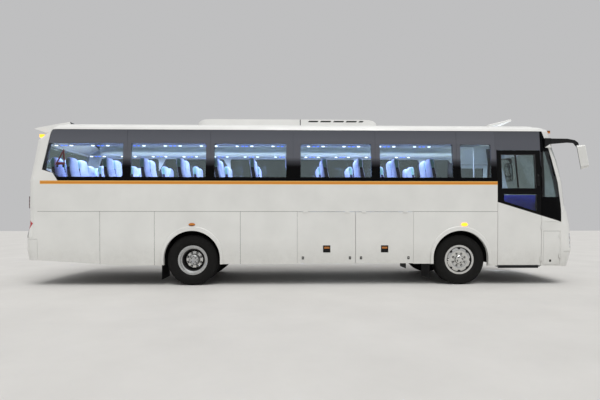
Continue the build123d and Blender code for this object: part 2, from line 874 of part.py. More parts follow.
with BuildPart() as chassis_frame:
    for sign in (-1, 1):
        add(
            side_box(
                rail_rear_station, rail_front_station, rail_bottom, rail_top, sign * rail_inner,
                sign * rail_outer
            )
        )
        add(
            side_box(
                rail_rear_station, rail_front_station, rail_bottom + rail_web, rail_top - rail_web,
                sign * rail_inner, sign * (rail_outer - rail_web),
            ),
            mode=Mode.SUBTRACT,
        )
    for sign in (-1, 1):
        for axle_station in (rear_axle_station, front_axle_station):
            for end in (-1, 1):
                face = axle_station + end * spring_reach
                add(
                    side_box(
                        min(face, face + end * hanger_length), max(face, face + end * hanger_length),
                        rail_bottom - hanger_height, rail_bottom, sign * rail_inner, sign * rail_outer,
                    )
                )
    for station in crossmember_stations:
        add(
            side_box(
                station - bearer_width / 2, station + bearer_width / 2, rail_top - 110, rail_top - 20,
                -rail_outer + rail_web, rail_outer - rail_web,
            )
        )
    for start, end, tow_start in (
        (rail_front_station - 60, rail_front_station, rail_front_station - 60),
        (rail_rear_station, rail_rear_station + 60, rail_rear_station - tow_plate_length + 60),
    ):
        add(side_box(start, end, rail_bottom, rail_top, -rail_outer + rail_web, rail_outer - rail_web))
        add(
            side_box(
                tow_start, tow_start + tow_plate_length, rail_bottom - tow_plate_thickness, rail_bottom,
                -tow_plate_half_width, tow_plate_half_width,
            )
        )
    engine_seat_station = engine_rear_station + engine_length / 2
    add(
        side_box(
            engine_seat_station - 60, engine_seat_station + 60, rail_bottom, rail_bottom + rail_web,
            -rail_outer + rail_web, rail_outer - rail_web,
        )
    )
    front_tow_station = rail_front_station - 60 + tow_plate_length - 50
    rear_tow_station = rail_rear_station + 60 - tow_plate_length + 50
    with BuildSketch(Plane.XY.offset(rail_bottom - tow_plate_thickness)):
        with Locations((at(front_tow_station), 0), (at(rear_tow_station), 0)):
            Circle(tow_hole_radius)
    extrude(amount=tow_plate_thickness, mode=Mode.SUBTRACT)
save(chassis_frame.part, "chassis_frame")

# Bearers that carry the deck on posts from the rails, and outriggers under the cab floor
bearers = []
for station in bearer_stations:
    start, end = station - bearer_width / 2, station + bearer_width / 2
    with BuildPart() as bearer:
        add(
            side_box(start, end, deck_bottom - bearer_depth, deck_bottom, -bearer_half_length, bearer_half_length)
        )
        for sign in (-1, 1):
            add(side_box(start, end, rail_top, deck_bottom, sign * rail_inner, sign * rail_outer))
    bearers.append(bearer.part)
for station in (bulkhead_station + 40, body_length - 500):
    for sign in (-1, 1):
        with BuildPart() as outrigger:
            add(
                side_box(
                    station, station + bearer_width, cab_floor_bottom - outrigger_depth, cab_floor_bottom,
                    sign * rail_outer, sign * outrigger_reach,
                )
            )
            add(
                side_box(
                    station, station + bearer_width, rail_top, cab_floor_bottom,
                    sign * rail_inner, sign * rail_outer,
                )
            )
        bearers.append(outrigger.part)
save_group(bearers, "body_bearers")

engine_bottom = rail_bottom + rail_web
with BuildPart() as engine_block:
    add(
        side_box(
            engine_rear_station, engine_rear_station + engine_length, engine_bottom,
            engine_bottom + engine_height, -engine_half_width, engine_half_width,
        )
    )
save(engine_block.part, "engine_block")

# Axles, springs, steering
wheel_radius = 540
tyre_width = 300
rim_bead_radius = 286
rim_flange_radius = 317
rim_half_width = 117
wheel_plane = 1100
twin_spacing = 325
spindle_radius = 45
bearing_clearance = 0.05
kingpin_y = 930
kingpin_radius = 25
kingpin_eye_radius = 50
beam_height = 100
beam_top = 600
eye_half_height = 70
ear_gap = 2
ear_thickness = 38
fork_reach = 56
fork_thickness = 30
arm_reach = 240
arm_thickness = 30
arm_half_width = 24
rod_pin_radius = 15
rod_pin_play = 1.5
rod_radius = 18
leaf_pack = 62
leaf_width = 76
leaf_end = 18
rear_pad_height = 10
axle_tube_radius = 75

with BuildPart() as front_axle:
    add(
        side_box(
            front_axle_station - 45, front_axle_station + 45, beam_top - 26, beam_top,
            -kingpin_y + 40, kingpin_y - 40,
        )
    )
    add(
        side_box(
            front_axle_station - 45, front_axle_station + 45, beam_top - beam_height,
            beam_top - beam_height + 24,
            -kingpin_y + 40, kingpin_y - 40,
        )
    )
    add(
        side_box(
            front_axle_station - 14, front_axle_station + 14, beam_top - beam_height, beam_top,
            -kingpin_y + 40, kingpin_y - 40,
        )
    )
    with BuildSketch(Plane.XY.offset(wheel_radius - eye_half_height)):
        with Locations((at(front_axle_station), -kingpin_y), (at(front_axle_station), kingpin_y)):
            Circle(kingpin_eye_radius)
    extrude(amount=2 * eye_half_height)
    with BuildSketch(Plane.XY.offset(wheel_radius - eye_half_height)):
        with Locations((at(front_axle_station), -kingpin_y), (at(front_axle_station), kingpin_y)):
            Circle(kingpin_radius + bearing_clearance)
    extrude(amount=2 * eye_half_height, mode=Mode.SUBTRACT)
save(front_axle.part, "front_axle")

arm_bottom = wheel_radius - eye_half_height - ear_gap - ear_thickness
for side, sign in (("right", -1), ("left", 1)):
    ear_low = wheel_radius - eye_half_height - ear_gap - ear_thickness
    ear_high = wheel_radius + eye_half_height + ear_gap
    eye_hole = rod_pin_radius + (bearing_clearance if side == "left" else rod_pin_play)
    with BuildPart() as knuckle:
        for ear_start in (ear_low, ear_high):
            with BuildSketch(Plane.XY.offset(ear_start)):
                with Locations((at(front_axle_station), sign * kingpin_y)):
                    Circle(kingpin_eye_radius)
                with Locations(
                    (at(front_axle_station), sign * (kingpin_y + (fork_reach + fork_thickness) / 2))
                ):
                    Rectangle(2 * kingpin_eye_radius - 4, fork_reach + fork_thickness)
            extrude(amount=ear_thickness)
        add(
            side_box(
                front_axle_station - kingpin_eye_radius + 2, front_axle_station + kingpin_eye_radius - 2,
                ear_low, ear_high + ear_thickness, sign * (kingpin_y + fork_reach),
                sign * (kingpin_y + fork_reach + fork_thickness),
            )
        )
        with BuildSketch(Plane.XY.offset(ear_low)):
            with Locations((at(front_axle_station), sign * kingpin_y)):
                Circle(kingpin_radius)
        extrude(amount=ear_high + ear_thickness - ear_low)
        with BuildSketch(Plane.XZ.offset(-sign * (kingpin_y + fork_reach))):
            with Locations((at(front_axle_station), wheel_radius)):
                Circle(spindle_radius)
        extrude(amount=-sign * (wheel_plane + 90 - kingpin_y - fork_reach))
        with BuildSketch(Plane.XY.offset(arm_bottom)):
            with Locations((at(front_axle_station - arm_reach / 2), sign * kingpin_y)):
                Rectangle(arm_reach, 2 * arm_half_width)
            with Locations((at(front_axle_station - arm_reach), sign * kingpin_y)):
                Circle(arm_half_width + 6)
        extrude(amount=arm_thickness)
        with BuildSketch(Plane.XY.offset(arm_bottom)):
            with Locations((at(front_axle_station - arm_reach), sign * kingpin_y)):
                Circle(eye_hole)
        extrude(amount=arm_thickness, mode=Mode.SUBTRACT)
    save(knuckle.part, f"knuckle_{side}")

rod_height = arm_bottom - rod_radius - 6
with BuildPart() as track_rod:
    with BuildSketch(Plane.XZ.offset(-kingpin_y)):
        with Locations((at(front_axle_station - arm_reach), rod_height)):
            Circle(rod_radius)
    extrude(amount=2 * kingpin_y)
    with BuildSketch(Plane.XY.offset(rod_height - rod_radius - 4)):
        with Locations(
            (at(front_axle_station - arm_reach), -kingpin_y), (at(front_axle_station - arm_reach), kingpin_y)
        ):
            Circle(28)
    extrude(amount=2 * rod_radius + 8)
    with BuildSketch(Plane.XY.offset(rod_height)):
        with Locations(
            (at(front_axle_station - arm_reach), -kingpin_y), (at(front_axle_station - arm_reach), kingpin_y)
        ):
            Circle(rod_pin_radius)
    extrude(amount=arm_bottom + arm_thickness + 4 - rod_height)
save(track_rod.part, "track_rod")

axle_rows = ((0, 205), (95, 205), (230, 96), (300, axle_tube_radius), (600, axle_tube_radius))
diff_nose = 250
with BuildPart() as rear_axle:
    with BuildSketch(Plane.XY.offset(wheel_radius)):
        with BuildLine():
            profile = [(at(rear_axle_station) + radius, y) for y, radius in axle_rows]
            Polyline(
                (at(rear_axle_station), 0), *profile,
                (at(rear_axle_station) + spindle_radius, axle_rows[-1][0]),
                (at(rear_axle_station) + spindle_radius, wheel_plane + 20),
                (at(rear_axle_station), wheel_plane + 20), close=True,
            )
        make_face()
    revolve(axis=Axis((at(rear_axle_station), 0, wheel_radius), (0, 1, 0)))
    mirror(about=Plane.XZ)
    with BuildSketch(Plane.YZ.offset(at(rear_axle_station))):
        with Locations((0, wheel_radius + 20)):
            Circle(85)
    extrude(amount=diff_nose)
    for sign in (-1, 1):
        add(
            side_box(
                rear_axle_station - 70, rear_axle_station + 70, wheel_radius,
                wheel_radius + axle_tube_radius + rear_pad_height,
                sign * 390, sign * 480,
            )
        )
save(rear_axle.part, "rear_axle")

leaf_y = rail_inner + rail_width / 2
with BuildPart() as leaf_springs:
    for axle_station, seat_height in (
        (front_axle_station, beam_top), (rear_axle_station, wheel_radius + axle_tube_radius + rear_pad_height)
    ):
        for sign in (-1, 1):
            centre = at(axle_station)
            end_low = rail_bottom - leaf_end - 12
            with BuildSketch(Plane.XZ.offset(-sign * leaf_y - leaf_width / 2)):
                with BuildLine():
                    ThreePointArc(
                        (centre - spring_reach, end_low), (centre, seat_height),
                        (centre + spring_reach, end_low)
                    )
                    Line((centre + spring_reach, end_low), (centre + spring_reach, end_low + leaf_end))
                    ThreePointArc(
                        (centre + spring_reach, end_low + leaf_end), (centre, seat_height + leaf_pack),
                        (centre - spring_reach, end_low + leaf_end),
                    )
                    Line((centre - spring_reach, end_low + leaf_end), (centre - spring_reach, end_low))
                make_face()
            extrude(amount=leaf_width)
save(leaf_springs.part, "leaf_springs")

shaft_radius = 50
shaft_front_height = engine_bottom + 60
with BuildPart() as prop_shaft:
    with BuildSketch(Plane.YZ.offset(at(rear_axle_station + diff_nose))):
        with Locations((0, wheel_radius + 20)):
            Circle(shaft_radius)
    run = engine_rear_station - rear_axle_station - diff_nose
    rise = shaft_front_height - wheel_radius - 20
    extrude(amount=hypot(run, rise), dir=(run, 0, rise))
save(prop_shaft.part, "prop_shaft")

# Wheels, each profile given as distance outward from the wheel's plane and radius
rim_wall = 13
well_radius = 244
barrel_profile = (
    (-rim_half_width, rim_flange_radius), (-rim_half_width + 12, rim_flange_radius),
    (-rim_half_width + 12, rim_bead_radius), (-62, rim_bead_radius), (-45, well_radius),
    (45, well_radius), (62, rim_bead_radius), (rim_half_width - 12, rim_bead_radius),
    (rim_half_width - 12, rim_flange_radius), (rim_half_width, rim_flange_radius),
    (rim_half_width, rim_bead_radius - rim_wall), (62, rim_bead_radius - rim_wall),
    (45, well_radius - rim_wall), (-45, well_radius - rim_wall), (-62, rim_bead_radius - rim_wall),
    (-rim_half_width, rim_bead_radius - rim_wall),
)
hub_radius = 118
hole_count = 8
hand_hole_radius = 29
hand_hole_ring = 196
front_disc = (
    (20, well_radius - rim_wall + 1), (52, 214), (74, 186), (80, 150), (80, hub_radius - 1),
    (66, hub_radius - 1), (66, 150), (60, 182), (38, 208), (6, well_radius - rim_wall + 1),
)
front_hub = (
    (-75, spindle_radius + bearing_clearance), (-75, 100), (-20, 100), (-20, hub_radius), (84, hub_radius),
    (92, 104), (118, 96), (142, 84), (148, 60), (148, 0), (94, 0), (94, spindle_radius + bearing_clearance),
)
rear_hub = (
    (-90, spindle_radius + bearing_clearance), (-90, 150), (10, 150), (10, hub_radius + 8),
    (120, hub_radius + 8),
    (160, 118), (212, 108), (222, 96), (222, 0), (190, 0), (190, spindle_radius + bearing_clearance),
)


def ring(rows, centre_station, plane_y, sign):
    """Revolves a profile of outward distance and radius about a wheel's axis."""
    centre = at(centre_station)
    with BuildPart() as turned:
        with BuildSketch(Plane.XY.offset(wheel_radius)):
            with BuildLine():
                Polyline(*[(centre + radius, sign * (plane_y + out)) for out, radius in rows], close=True)
            make_face()
        revolve(axis=Axis((centre, 0, wheel_radius), (0, 1, 0)))
    return turned.part


def tyre(centre_station, plane_y, sign):
    """Revolves a tyre with a flat tread, sloped shoulders and bulged side walls."""
    centre = at(centre_station)
    half = tyre_width / 2
    seat = rim_bead_radius + seat_gap
    inside = rim_half_width - 12 - seat_gap

    def spot(out, radius):
        return (centre + radius, sign * (plane_y + out))

    bead_top = rim_flange_radius + 6
    bulge = wheel_radius - 118
    shoulder = (half - 22, wheel_radius - 22)
    tread_edge = half - 38
    with BuildPart() as turned:
        with BuildSketch(Plane.XY.offset(wheel_radius)):
            with BuildLine():
                Line(spot(-inside, seat), spot(inside, seat))
                Line(spot(inside, seat), spot(inside, bead_top))
                ThreePointArc(spot(inside, bead_top), spot(half, bulge), spot(*shoulder))
                Line(spot(*shoulder), spot(tread_edge, wheel_radius))
                Line(spot(tread_edge, wheel_radius), spot(-tread_edge, wheel_radius))
                Line(spot(-tread_edge, wheel_radius), spot(-shoulder[0], shoulder[1]))
                ThreePointArc(spot(-shoulder[0], shoulder[1]), spot(-half, bulge), spot(-inside, bead_top))
                Line(spot(-inside, bead_top), spot(-inside, seat))
            make_face()
        revolve(axis=Axis((centre, 0, wheel_radius), (0, 1, 0)))
    return turned.part


def hand_holes(centre_station, y_from, y_to, radius):
    """Makes the ring of holes through a wheel disc."""
    with BuildPart() as holes:
        with BuildSketch(Plane.XZ.offset(-y_from)):
            with Locations((at(centre_station), wheel_radius)):
                with PolarLocations(hand_hole_ring, hole_count):
                    Circle(radius)
        extrude(amount=y_from - y_to)
    return holes.part


for side, sign in (("right", -1), ("left", 1)):
    with BuildPart() as front_tyre:
        add(tyre(front_axle_station, wheel_plane, sign))
    save(front_tyre.part, f"front_{side}_tyre")
    with BuildPart() as front_rim:
        add(ring(barrel_profile, front_axle_station, wheel_plane, sign))
        add(ring(front_disc, front_axle_station, wheel_plane, sign))
        add(ring(front_hub, front_axle_station, wheel_plane, sign))
        add(
            hand_holes(front_axle_station, sign * wheel_plane, sign * (wheel_plane + 100), hand_hole_radius),
            mode=Mode.SUBTRACT,
        )
    save(front_rim.part, f"front_{side}_rim")
    with BuildPart() as rear_tyres:
        for plane_y in (wheel_plane, wheel_plane - twin_spacing):
            add(tyre(rear_axle_station, plane_y, sign))
    save(rear_tyres.part, f"rear_{side}_tyres")
    middle_y = wheel_plane - twin_spacing / 2
    with BuildPart() as rear_rims:
        for plane_y in (wheel_plane, wheel_plane - twin_spacing):
            add(ring(barrel_profile, rear_axle_station, plane_y, sign))
        for turn in (-1, 1):
            cup = [
                (turn * out, radius) for out, radius in
                (
                    (0, hub_radius), (0, 214), (70, well_radius - rim_wall + 1),
                    (128, well_radius - rim_wall + 1),
                    (128, well_radius - rim_wall - 13), (74, well_radius - rim_wall - 13), (13, 206),
                    (13, hub_radius),
                )
            ]
            add(ring(cup, rear_axle_station, middle_y, sign))
        add(ring(rear_hub, rear_axle_station, middle_y, sign))
        add(
            hand_holes(rear_axle_station, sign * (middle_y - 40), sign * (middle_y + 40), hand_hole_radius),
            mode=Mode.SUBTRACT,
        )
    save(rear_rims.part, f"rear_{side}_rims")

# Cabin floor, bulkhead, cab floor, engine hump and entrance steps
deck_top = deck_bottom + deck_thickness
cab_floor_top = cab_floor_bottom + cab_floor_thickness
flap_clearance = 6
hump_half_width = 470
hump_height = 1500
hump_front_station = engine_rear_station + engine_length + 40
hump_wall = 20
tread_thickness = 25
step_reach = 1205
boot_door_clear = 165
low_tread = 425
# Steps: side, riser distance from the middle, middle tread height, middle tread reach
step_rows = ((-1, 990, 750, 1130), (1, 720, 750, 960))
with BuildPart() as floor_deck:
    add(side_box(0, bulkhead_station + bulkhead_thickness, deck_bottom, deck_top, -1400, 1400))
    add(
        side_box(
            bulkhead_station, bulkhead_station + bulkhead_thickness, cab_floor_bottom, deck_bottom, -1400,
            1400
        )
    )
    add(side_box(bulkhead_station, body_length, cab_floor_bottom, cab_floor_top, -1400, 1400))
    add(
        side_box(
            bulkhead_station, hump_front_station, cab_floor_top, hump_height, -hump_half_width,
            hump_half_width
        )
    )
    add(
        side_box(
            bulkhead_station + bulkhead_thickness, hump_front_station - hump_wall, cab_floor_bottom - 10,
            hump_height - hump_wall, hump_wall - hump_half_width, hump_half_width - hump_wall,
        ),
        mode=Mode.SUBTRACT,
    )
    add(cabin_space, mode=Mode.INTERSECT)
    add(
        side_box(
            0, boot_door_clear, deck_bottom, deck_top, -boot_half_width - panel_gap,
            boot_half_width + panel_gap
        ),
        mode=Mode.SUBTRACT,
    )
    for sign in (-1, 1):
        add(
            side_box(
                flap_rear_station - 20, flap_front_station + 20, deck_bottom, deck_top,
                sign * (body_half_width - wall - flap_clearance), sign * 1400,
            ),
            mode=Mode.SUBTRACT,
        )
        add(
            side_box(
                service_rear_station - 20, service_front_station + 20, cab_floor_bottom, cab_floor_top,
                sign * (body_half_width - wall - 2 * flap_clearance), sign * 1400,
            ),
            mode=Mode.SUBTRACT,
        )
    for sign, riser, middle_tread, middle_reach in step_rows:
        well_start = door_rear_station - panel_gap
        well_end = door_front_station + panel_gap
        add(
            side_box(well_start, well_end, cab_floor_bottom, cab_floor_top, sign * riser, sign * 1400),
            mode=Mode.SUBTRACT,
        )
        for low, high, near, far in (
            (low_tread, cab_floor_top, riser - 20, riser),
            (middle_tread, middle_tread + tread_thickness, riser, middle_reach),
            (low_tread, low_tread + tread_thickness, riser, step_reach),
            (door_bottom - 42, door_bottom - 12, step_reach - 80, body_half_width - 40),
            (door_bottom - 42, low_tread + tread_thickness, step_reach - 80, step_reach),
        ):
            add(side_box(well_start + 20, well_end - 20, low, high, sign * near, sign * far))
save(floor_deck.part, "floor_deck")

# Boot floor, luggage bays and wheel housings
boot_floor_thickness = 25
boot_front_station = rear_axle_station - 880
bay_floor_bottom = 474
bay_wall = 20
bay_reach = body_half_width - wall - 28
housing_wall = 12
housing_radius = 650
housing_bottom = 470
housing_inner_y = 560
bays, linings = [], []
with BuildPart() as boot_tray:
    add(side_box(0, boot_front_station, rail_top, rail_top + boot_floor_thickness, -1400, 1400))
    add(
        side_box(boot_front_station - bay_wall, boot_front_station, rail_top, deck_bottom - bearer_depth, -1400, 1400)
    )
    add(cabin_space, mode=Mode.INTERSECT)
    for station in bearer_stations:
        for sign in (-1, 1):
            add(
                side_box(
                    station - bearer_width / 2, station + bearer_width / 2, rail_top - 10, deck_bottom,
                    sign * rail_inner, sign * rail_outer,
                ),
                mode=Mode.SUBTRACT,
            )
linings.append(boot_tray.part)
for sign in (-1, 1):
    bay_start = flap_rear_station - 30
    bay_end = flap_front_station + 30
    bay_floor_top = bay_floor_bottom + bay_wall
    bay_top = deck_bottom - bearer_depth
    for start, end, low, high, reach in (
        (bay_start - bay_wall, bay_end + bay_wall, bay_floor_bottom, bay_floor_top, bay_reach),
        (bay_start, bay_end, bay_floor_top, bay_top, rail_outer + bay_wall),
        (bay_start - bay_wall, bay_start, bay_floor_top, bay_top, bay_reach),
        (bay_end, bay_end + bay_wall, bay_floor_top, bay_top, bay_reach),
    ):
        bays.append(side_box(start, end, low, high, sign * rail_outer, sign * reach))
    for station in arches.values():
        with BuildPart() as housing:
            add(arch_prism(station, housing_radius, sign * housing_inner_y, sign * 1400))
            add(
                arch_prism(
                    station, housing_radius - housing_wall, sign * (housing_inner_y + housing_wall),
                    sign * 1500
                ),
                mode=Mode.SUBTRACT,
            )
            add(cabin_space, mode=Mode.INTERSECT)
            add(
                side_box(station - 900, station + 900, housing_bottom, 1400, sign * 500, sign * 1400),
                mode=Mode.INTERSECT,
            )
            add(
                side_box(
                    station - housing_radius + housing_wall, station + housing_radius - housing_wall, 300,
                    rail_top,
                    sign * 500, sign * (housing_inner_y + housing_wall),
                ),
                mode=Mode.SUBTRACT,
            )
        linings.append(housing.part)
save_group(bays, "luggage_bays")
save_group(linings, "underfloor_linings")

# Mud flaps behind the wheels
mud_flaps = []
for station in arches.values():
    for sign in (-1, 1):
        mud_flaps.append(
            side_box(station - housing_radius - 10, station - housing_radius, 130, 560, sign * 650, sign * 1215)
        )
save_group(mud_flaps, "mud_flaps")

# Fuel tank on the right, air tanks on the left, silencer and tail pipe at the rear left
tank_start = rear_axle_station + 1060
tank_length = 1060
with BuildPart() as fuel_tank:
    with BuildSketch(Plane.YZ.offset(at(tank_start))):
        with Locations((-(rail_outer + 340), 800)):
            RectangleRounded(680, 520, 70)
    extrude(amount=tank_length)
air_tank_radius = 125
with BuildPart() as air_tanks:
    with BuildSketch(Plane.YZ.offset(at(tank_start))):
        with Locations((rail_outer + 150, 860), (rail_outer + 440, 860)):
            Circle(air_tank_radius)
    extrude(amount=tank_length - 260)
    for station in (tank_start + 150, tank_start + tank_length - 410):
        add(side_box(station, station + 40, 845, 875, rail_outer, rail_outer + 500))
silencer_station = 1760
with BuildPart() as exhaust:
    with BuildSketch(Plane.YZ.offset(at(silencer_station))):
        with Locations((rail_outer + 290, 700)):
            Circle(125)
    extrude(amount=820)
    with BuildSketch(Plane.YZ.offset(at(rear_split))):
        with Locations((rail_outer + 290, 700)):
            Circle(45)
    extrude(amount=silencer_station - rear_split)
    with BuildSketch(Plane.YZ.offset(at(rear_split))):
        with Locations((rail_outer + 290, 700)):
            Circle(41)
    extrude(amount=300, mode=Mode.SUBTRACT)
    for station in (silencer_station + 150, silencer_station + 600):
        add(side_box(station, station + 40, 760, 790, rail_outer, rail_outer + 240))
save_group([fuel_tank.part, air_tanks.part, exhaust.part], "tanks_and_exhaust")

# Passenger seats on floor rails
seat_pitch = 790
seat_count = 11
first_seat_station = 980
seat_rail_height = 20
seat_inner_y = 330
seat_outer_y = 1180
seat_split = 24
# Seat side view: forward of the row's station, height above the deck
seat_outline = (
    (0, 400), (-95, 760), (-150, 1150), (-125, 1210), (-60, 1215), (-35, 1140), (-20, 960),
    (60, 640), (110, 500), (470, 520), (530, 500), (545, 440), (510, 385),
)


def seat_prism(station, floor, outline, y_from, y_to):
    """Extrudes a seat's side view across its width."""
    return side_prism([(station + ahead, floor + up) for ahead, up in outline], y_from, y_to)


passenger_seats = []
seat_floor = deck_top + seat_gap
for sign in (-1, 1):
    middle = (seat_inner_y + seat_outer_y) / 2
    with BuildPart() as seat_side:
        for y in (seat_inner_y + 110, seat_outer_y - 110):
            add(
                side_box(
                    first_seat_station - 60, first_seat_station + (seat_count - 1) * seat_pitch + 560,
                    seat_floor, seat_floor + seat_rail_height, sign * (y - 22), sign * (y + 22),
                )
            )
        for n in range(seat_count):
            station = first_seat_station + n * seat_pitch
            add(
                seat_prism(station, deck_top, seat_outline, sign * seat_inner_y, sign * (middle - seat_split / 2))
            )
            add(
                seat_prism(station, deck_top, seat_outline, sign * (middle + seat_split / 2), sign * seat_outer_y)
            )
            add(
                side_box(
                    station + 100, station + 180, deck_top + 385, deck_top + 440, sign * seat_inner_y,
                    sign * seat_outer_y,
                )
            )
            for y in (seat_inner_y + 110, seat_outer_y - 110):
                add(
                    side_box(
                        station + 110, station + 400, seat_floor, deck_top + 420, sign * (y - 14),
                        sign * (y + 14)
                    )
                )
    passenger_seats.append(seat_side.part)
save_group(passenger_seats, "passenger_seats")

# Driver's seat on the cab floor
driver_y = -735
driver_seat_half = 245
driver_seat_station = door_rear_station + 120
driver_outline = (
    (0, 420), (-120, 780), (-170, 1160), (-140, 1215), (-80, 1215), (-55, 1130), (-10, 880),
    (70, 640), (110, 520), (480, 545), (535, 510), (530, 440), (490, 410),
)
with BuildPart() as driver_seat:
    add(
        seat_prism(
            driver_seat_station, cab_floor_top, driver_outline, driver_y - driver_seat_half,
            driver_y + driver_seat_half,
        )
    )
    add(
        side_box(
            driver_seat_station + 90, driver_seat_station + 440, cab_floor_top + seat_gap,
            cab_floor_top + 430,
            driver_y - 160, driver_y + 160,
        )
    )
save(driver_seat.part, "driver_seat")

# Dashboard with the steering column
dash_half_width = 1190
dash_station = body_length - 700
column_foot = (body_length - 640, 1490)
wheel_spot = (body_length - 900, 1800)
with BuildPart() as dashboard:
    add(
        side_prism(
            (
                (body_length, cab_floor_top + seat_gap), (body_length, 1700), (body_length - 440, 1716),
                (dash_station + 40, 1600), (dash_station, 1500), (dash_station + 120, 1380),
                (dash_station + 180, cab_floor_top + seat_gap),
            ),
            -dash_half_width, dash_half_width,
        )
    )
    add(cabin_space, mode=Mode.INTERSECT)
    column = Vector(wheel_spot[0] - column_foot[0], 0, wheel_spot[1] - column_foot[1])
    column_plane = Plane(origin=(at(column_foot[0]), driver_y, column_foot[1]), z_dir=column)
    with BuildSketch(column_plane):
        Circle(38)
    extrude(amount=column.length - 40)
    with BuildSketch(column_plane):
        Circle(12)
    extrude(amount=column.length)
save(dashboard.part, "dashboard")

steering_radius = 225
with BuildPart() as steering_wheel:
    wheel_plane_tilted = Plane(origin=(at(wheel_spot[0]), driver_y, wheel_spot[1]), z_dir=column)
    with BuildSketch(wheel_plane_tilted.offset(-36)):
        Circle(46)
    extrude(amount=66)
    with BuildSketch(wheel_plane_tilted.offset(-36)):
        Circle(12 + bearing_clearance)
    extrude(amount=40, mode=Mode.SUBTRACT)
    with BuildSketch(wheel_plane_tilted.offset(8)):
        with PolarLocations((steering_radius + 30) / 2, 3, start_angle=90):
            Rectangle(steering_radius - 30, 34)
    extrude(amount=12)
    with BuildSketch(Plane(
        origin=wheel_plane_tilted.origin + wheel_plane_tilted.z_dir * 14 + wheel_plane_tilted.x_dir * steering_radius,
        z_dir=wheel_plane_tilted.y_dir,
    )):
        Circle(17)
    revolve(axis=Axis(wheel_plane_tilted.origin + wheel_plane_tilted.z_dir * 14, wheel_plane_tilted.z_dir))
save(steering_wheel.part, "steering_wheel")

# Overhead racks along both sides and two handrails at the front of the cabin
rack_rear_station = 760
rack_front_station = bulkhead_station - 120
# Rack section: distance from the middle, height
rack_section = (
    (735, 3165), (735, 3110), (765, 3078), (1400, 3098), (1400, 3150), (795, 3112), (762, 3135),
    (758, 3170),
)
handrail_radius = 17
handrail_y = 430
racks = []
for sign in (-1, 1):
    with BuildPart() as rack:
        with BuildSketch(Plane.YZ.offset(at(rack_rear_station))):
            with BuildLine():
                Polyline(*[(sign * y, height) for y, height in rack_section], close=True)
            make_face()
        extrude(amount=rack_front_station - rack_rear_station)
        add(cabin_space, mode=Mode.INTERSECT)
    racks.append(rack.part)
    with BuildPart() as handrail:
        with BuildSketch(Plane.XY.offset(deck_top + seat_gap)):
            with Locations((at(bulkhead_station - 60), sign * handrail_y)):
                Circle(handrail_radius)
        extrude(amount=crown_height)
        add(cabin_space, mode=Mode.INTERSECT)
    racks.append(handrail.part)
save_group(racks, "racks_and_handrails")

# Curtain gathered behind the driver's door window
curtain_y = -1135
with BuildPart() as cab_curtain:
    add(side_box(door_rear_station + 8, door_rear_station + 120, 2060, 2990, curtain_y, curtain_y - 26))
    add(side_box(door_rear_station + 8, door_rear_station + 120, 2955, 2990, curtain_y, -1400))
    add(cabin_space, mode=Mode.INTERSECT)
save(cab_curtain.part, "cab_curtain")

# Lamps in the panels, oval side markers and corner markers
marker_height = 1307
marker_proud = 12
lamps = []
for sign in (-1, 1):
    for rows in (head_lamp, rear_lamp):
        with BuildPart() as lamp:
            add(shell.part)
            add(lamp_region(rows, sign, 0), mode=Mode.INTERSECT)
        lamps.append(lamp.part)
    for station in (rear_axle_station, front_axle_station + 80):
        with BuildPart() as marker:
            with BuildSketch(Plane.XZ.offset(-sign * body_half_width)):
                with Locations((at(station), marker_height)):
                    Ellipse(70, 34)
            extrude(amount=-sign * marker_proud)
        lamps.append(marker.part)
    for start, end, low, high, near, far in (
        (body_length - 600, body_length - 530, 3342, 3402, 930, 1030),
        (268, 350, 3190, 3255, 1010, 1110),
    ):
        with BuildPart() as marker:
            add(side_box(start, end, low, high, sign * near, sign * far))
            add(above_skin, mode=Mode.SUBTRACT)
        lamps.append(marker.part)
save_group(lamps, "lamps")

# Mirrors on arms at the front corners
mirrors = []
# Arm side view: station behind the front end, height
arm_outline = (
    (670, 3182), (331, 3166), (185, 3130), (118, 3075), (98, 2990), (140, 2985), (205, 3070), (330, 3084),
    (670, 3064)
)
arm_spread = 0.2
arm_breadth = 40
head_width = 230
head_height = 520
head_depth = 150
head_taper = 11
head_edge_radius = 20
head_turn = 35
head_lean = 9
head_centre_y = 1435
head_centre_height = 2745


def mirror_head(sign):
    """Makes a head turned to the driver and leaning, with its foremost point at the mirrors' lead."""
    turn = radians(head_turn)
    ahead = Vector(cos(turn), sign * sin(turn), sin(radians(head_lean)))
    across = Vector(-sign * sin(turn), cos(turn), 0)
    with BuildPart() as head:
        with BuildSketch(
            Plane(origin=(0, sign * head_centre_y, head_centre_height), x_dir=across, z_dir=ahead)
        ):
            RectangleRounded(head_width, head_height, 62)
        extrude(amount=head_depth, taper=head_taper)
        fillet(head.faces().sort_by(Axis((0, 0, 0), tuple(ahead)))[-1].edges(), head_edge_radius)
    foremost = head.part.bounding_box().max.X
    return head.part.translate((at(body_length + mirror_lead) - foremost, 0, 0))


for sign in (-1, 1):
    root_point = Vector(at(body_length - 670), sign * 1248, 0)
    arm_plane = Plane(origin=root_point, x_dir=(1, sign * arm_spread, 0), z_dir=(sign * arm_spread, -1, 0))
    with BuildPart() as mirror:
        with BuildSketch(arm_plane):
            with BuildLine():
                Polyline(*[(670 - back, height) for back, height in arm_outline], close=True)
            make_face()
        extrude(amount=arm_breadth / 2, both=True)
        add(side_box(body_length - 790, body_length - 655, 2985, 3190, sign * 1180, sign * 1262))
        add(above_skin, mode=Mode.SUBTRACT)
        add(mirror_head(sign))
    mirrors.append(mirror.part)
save_group(mirrors, "mirrors")

# Wipers lying on the windscreen
wiper_depth = 26
wiper_space = outer.translate((wiper_depth, 0, 0))
wipers = []
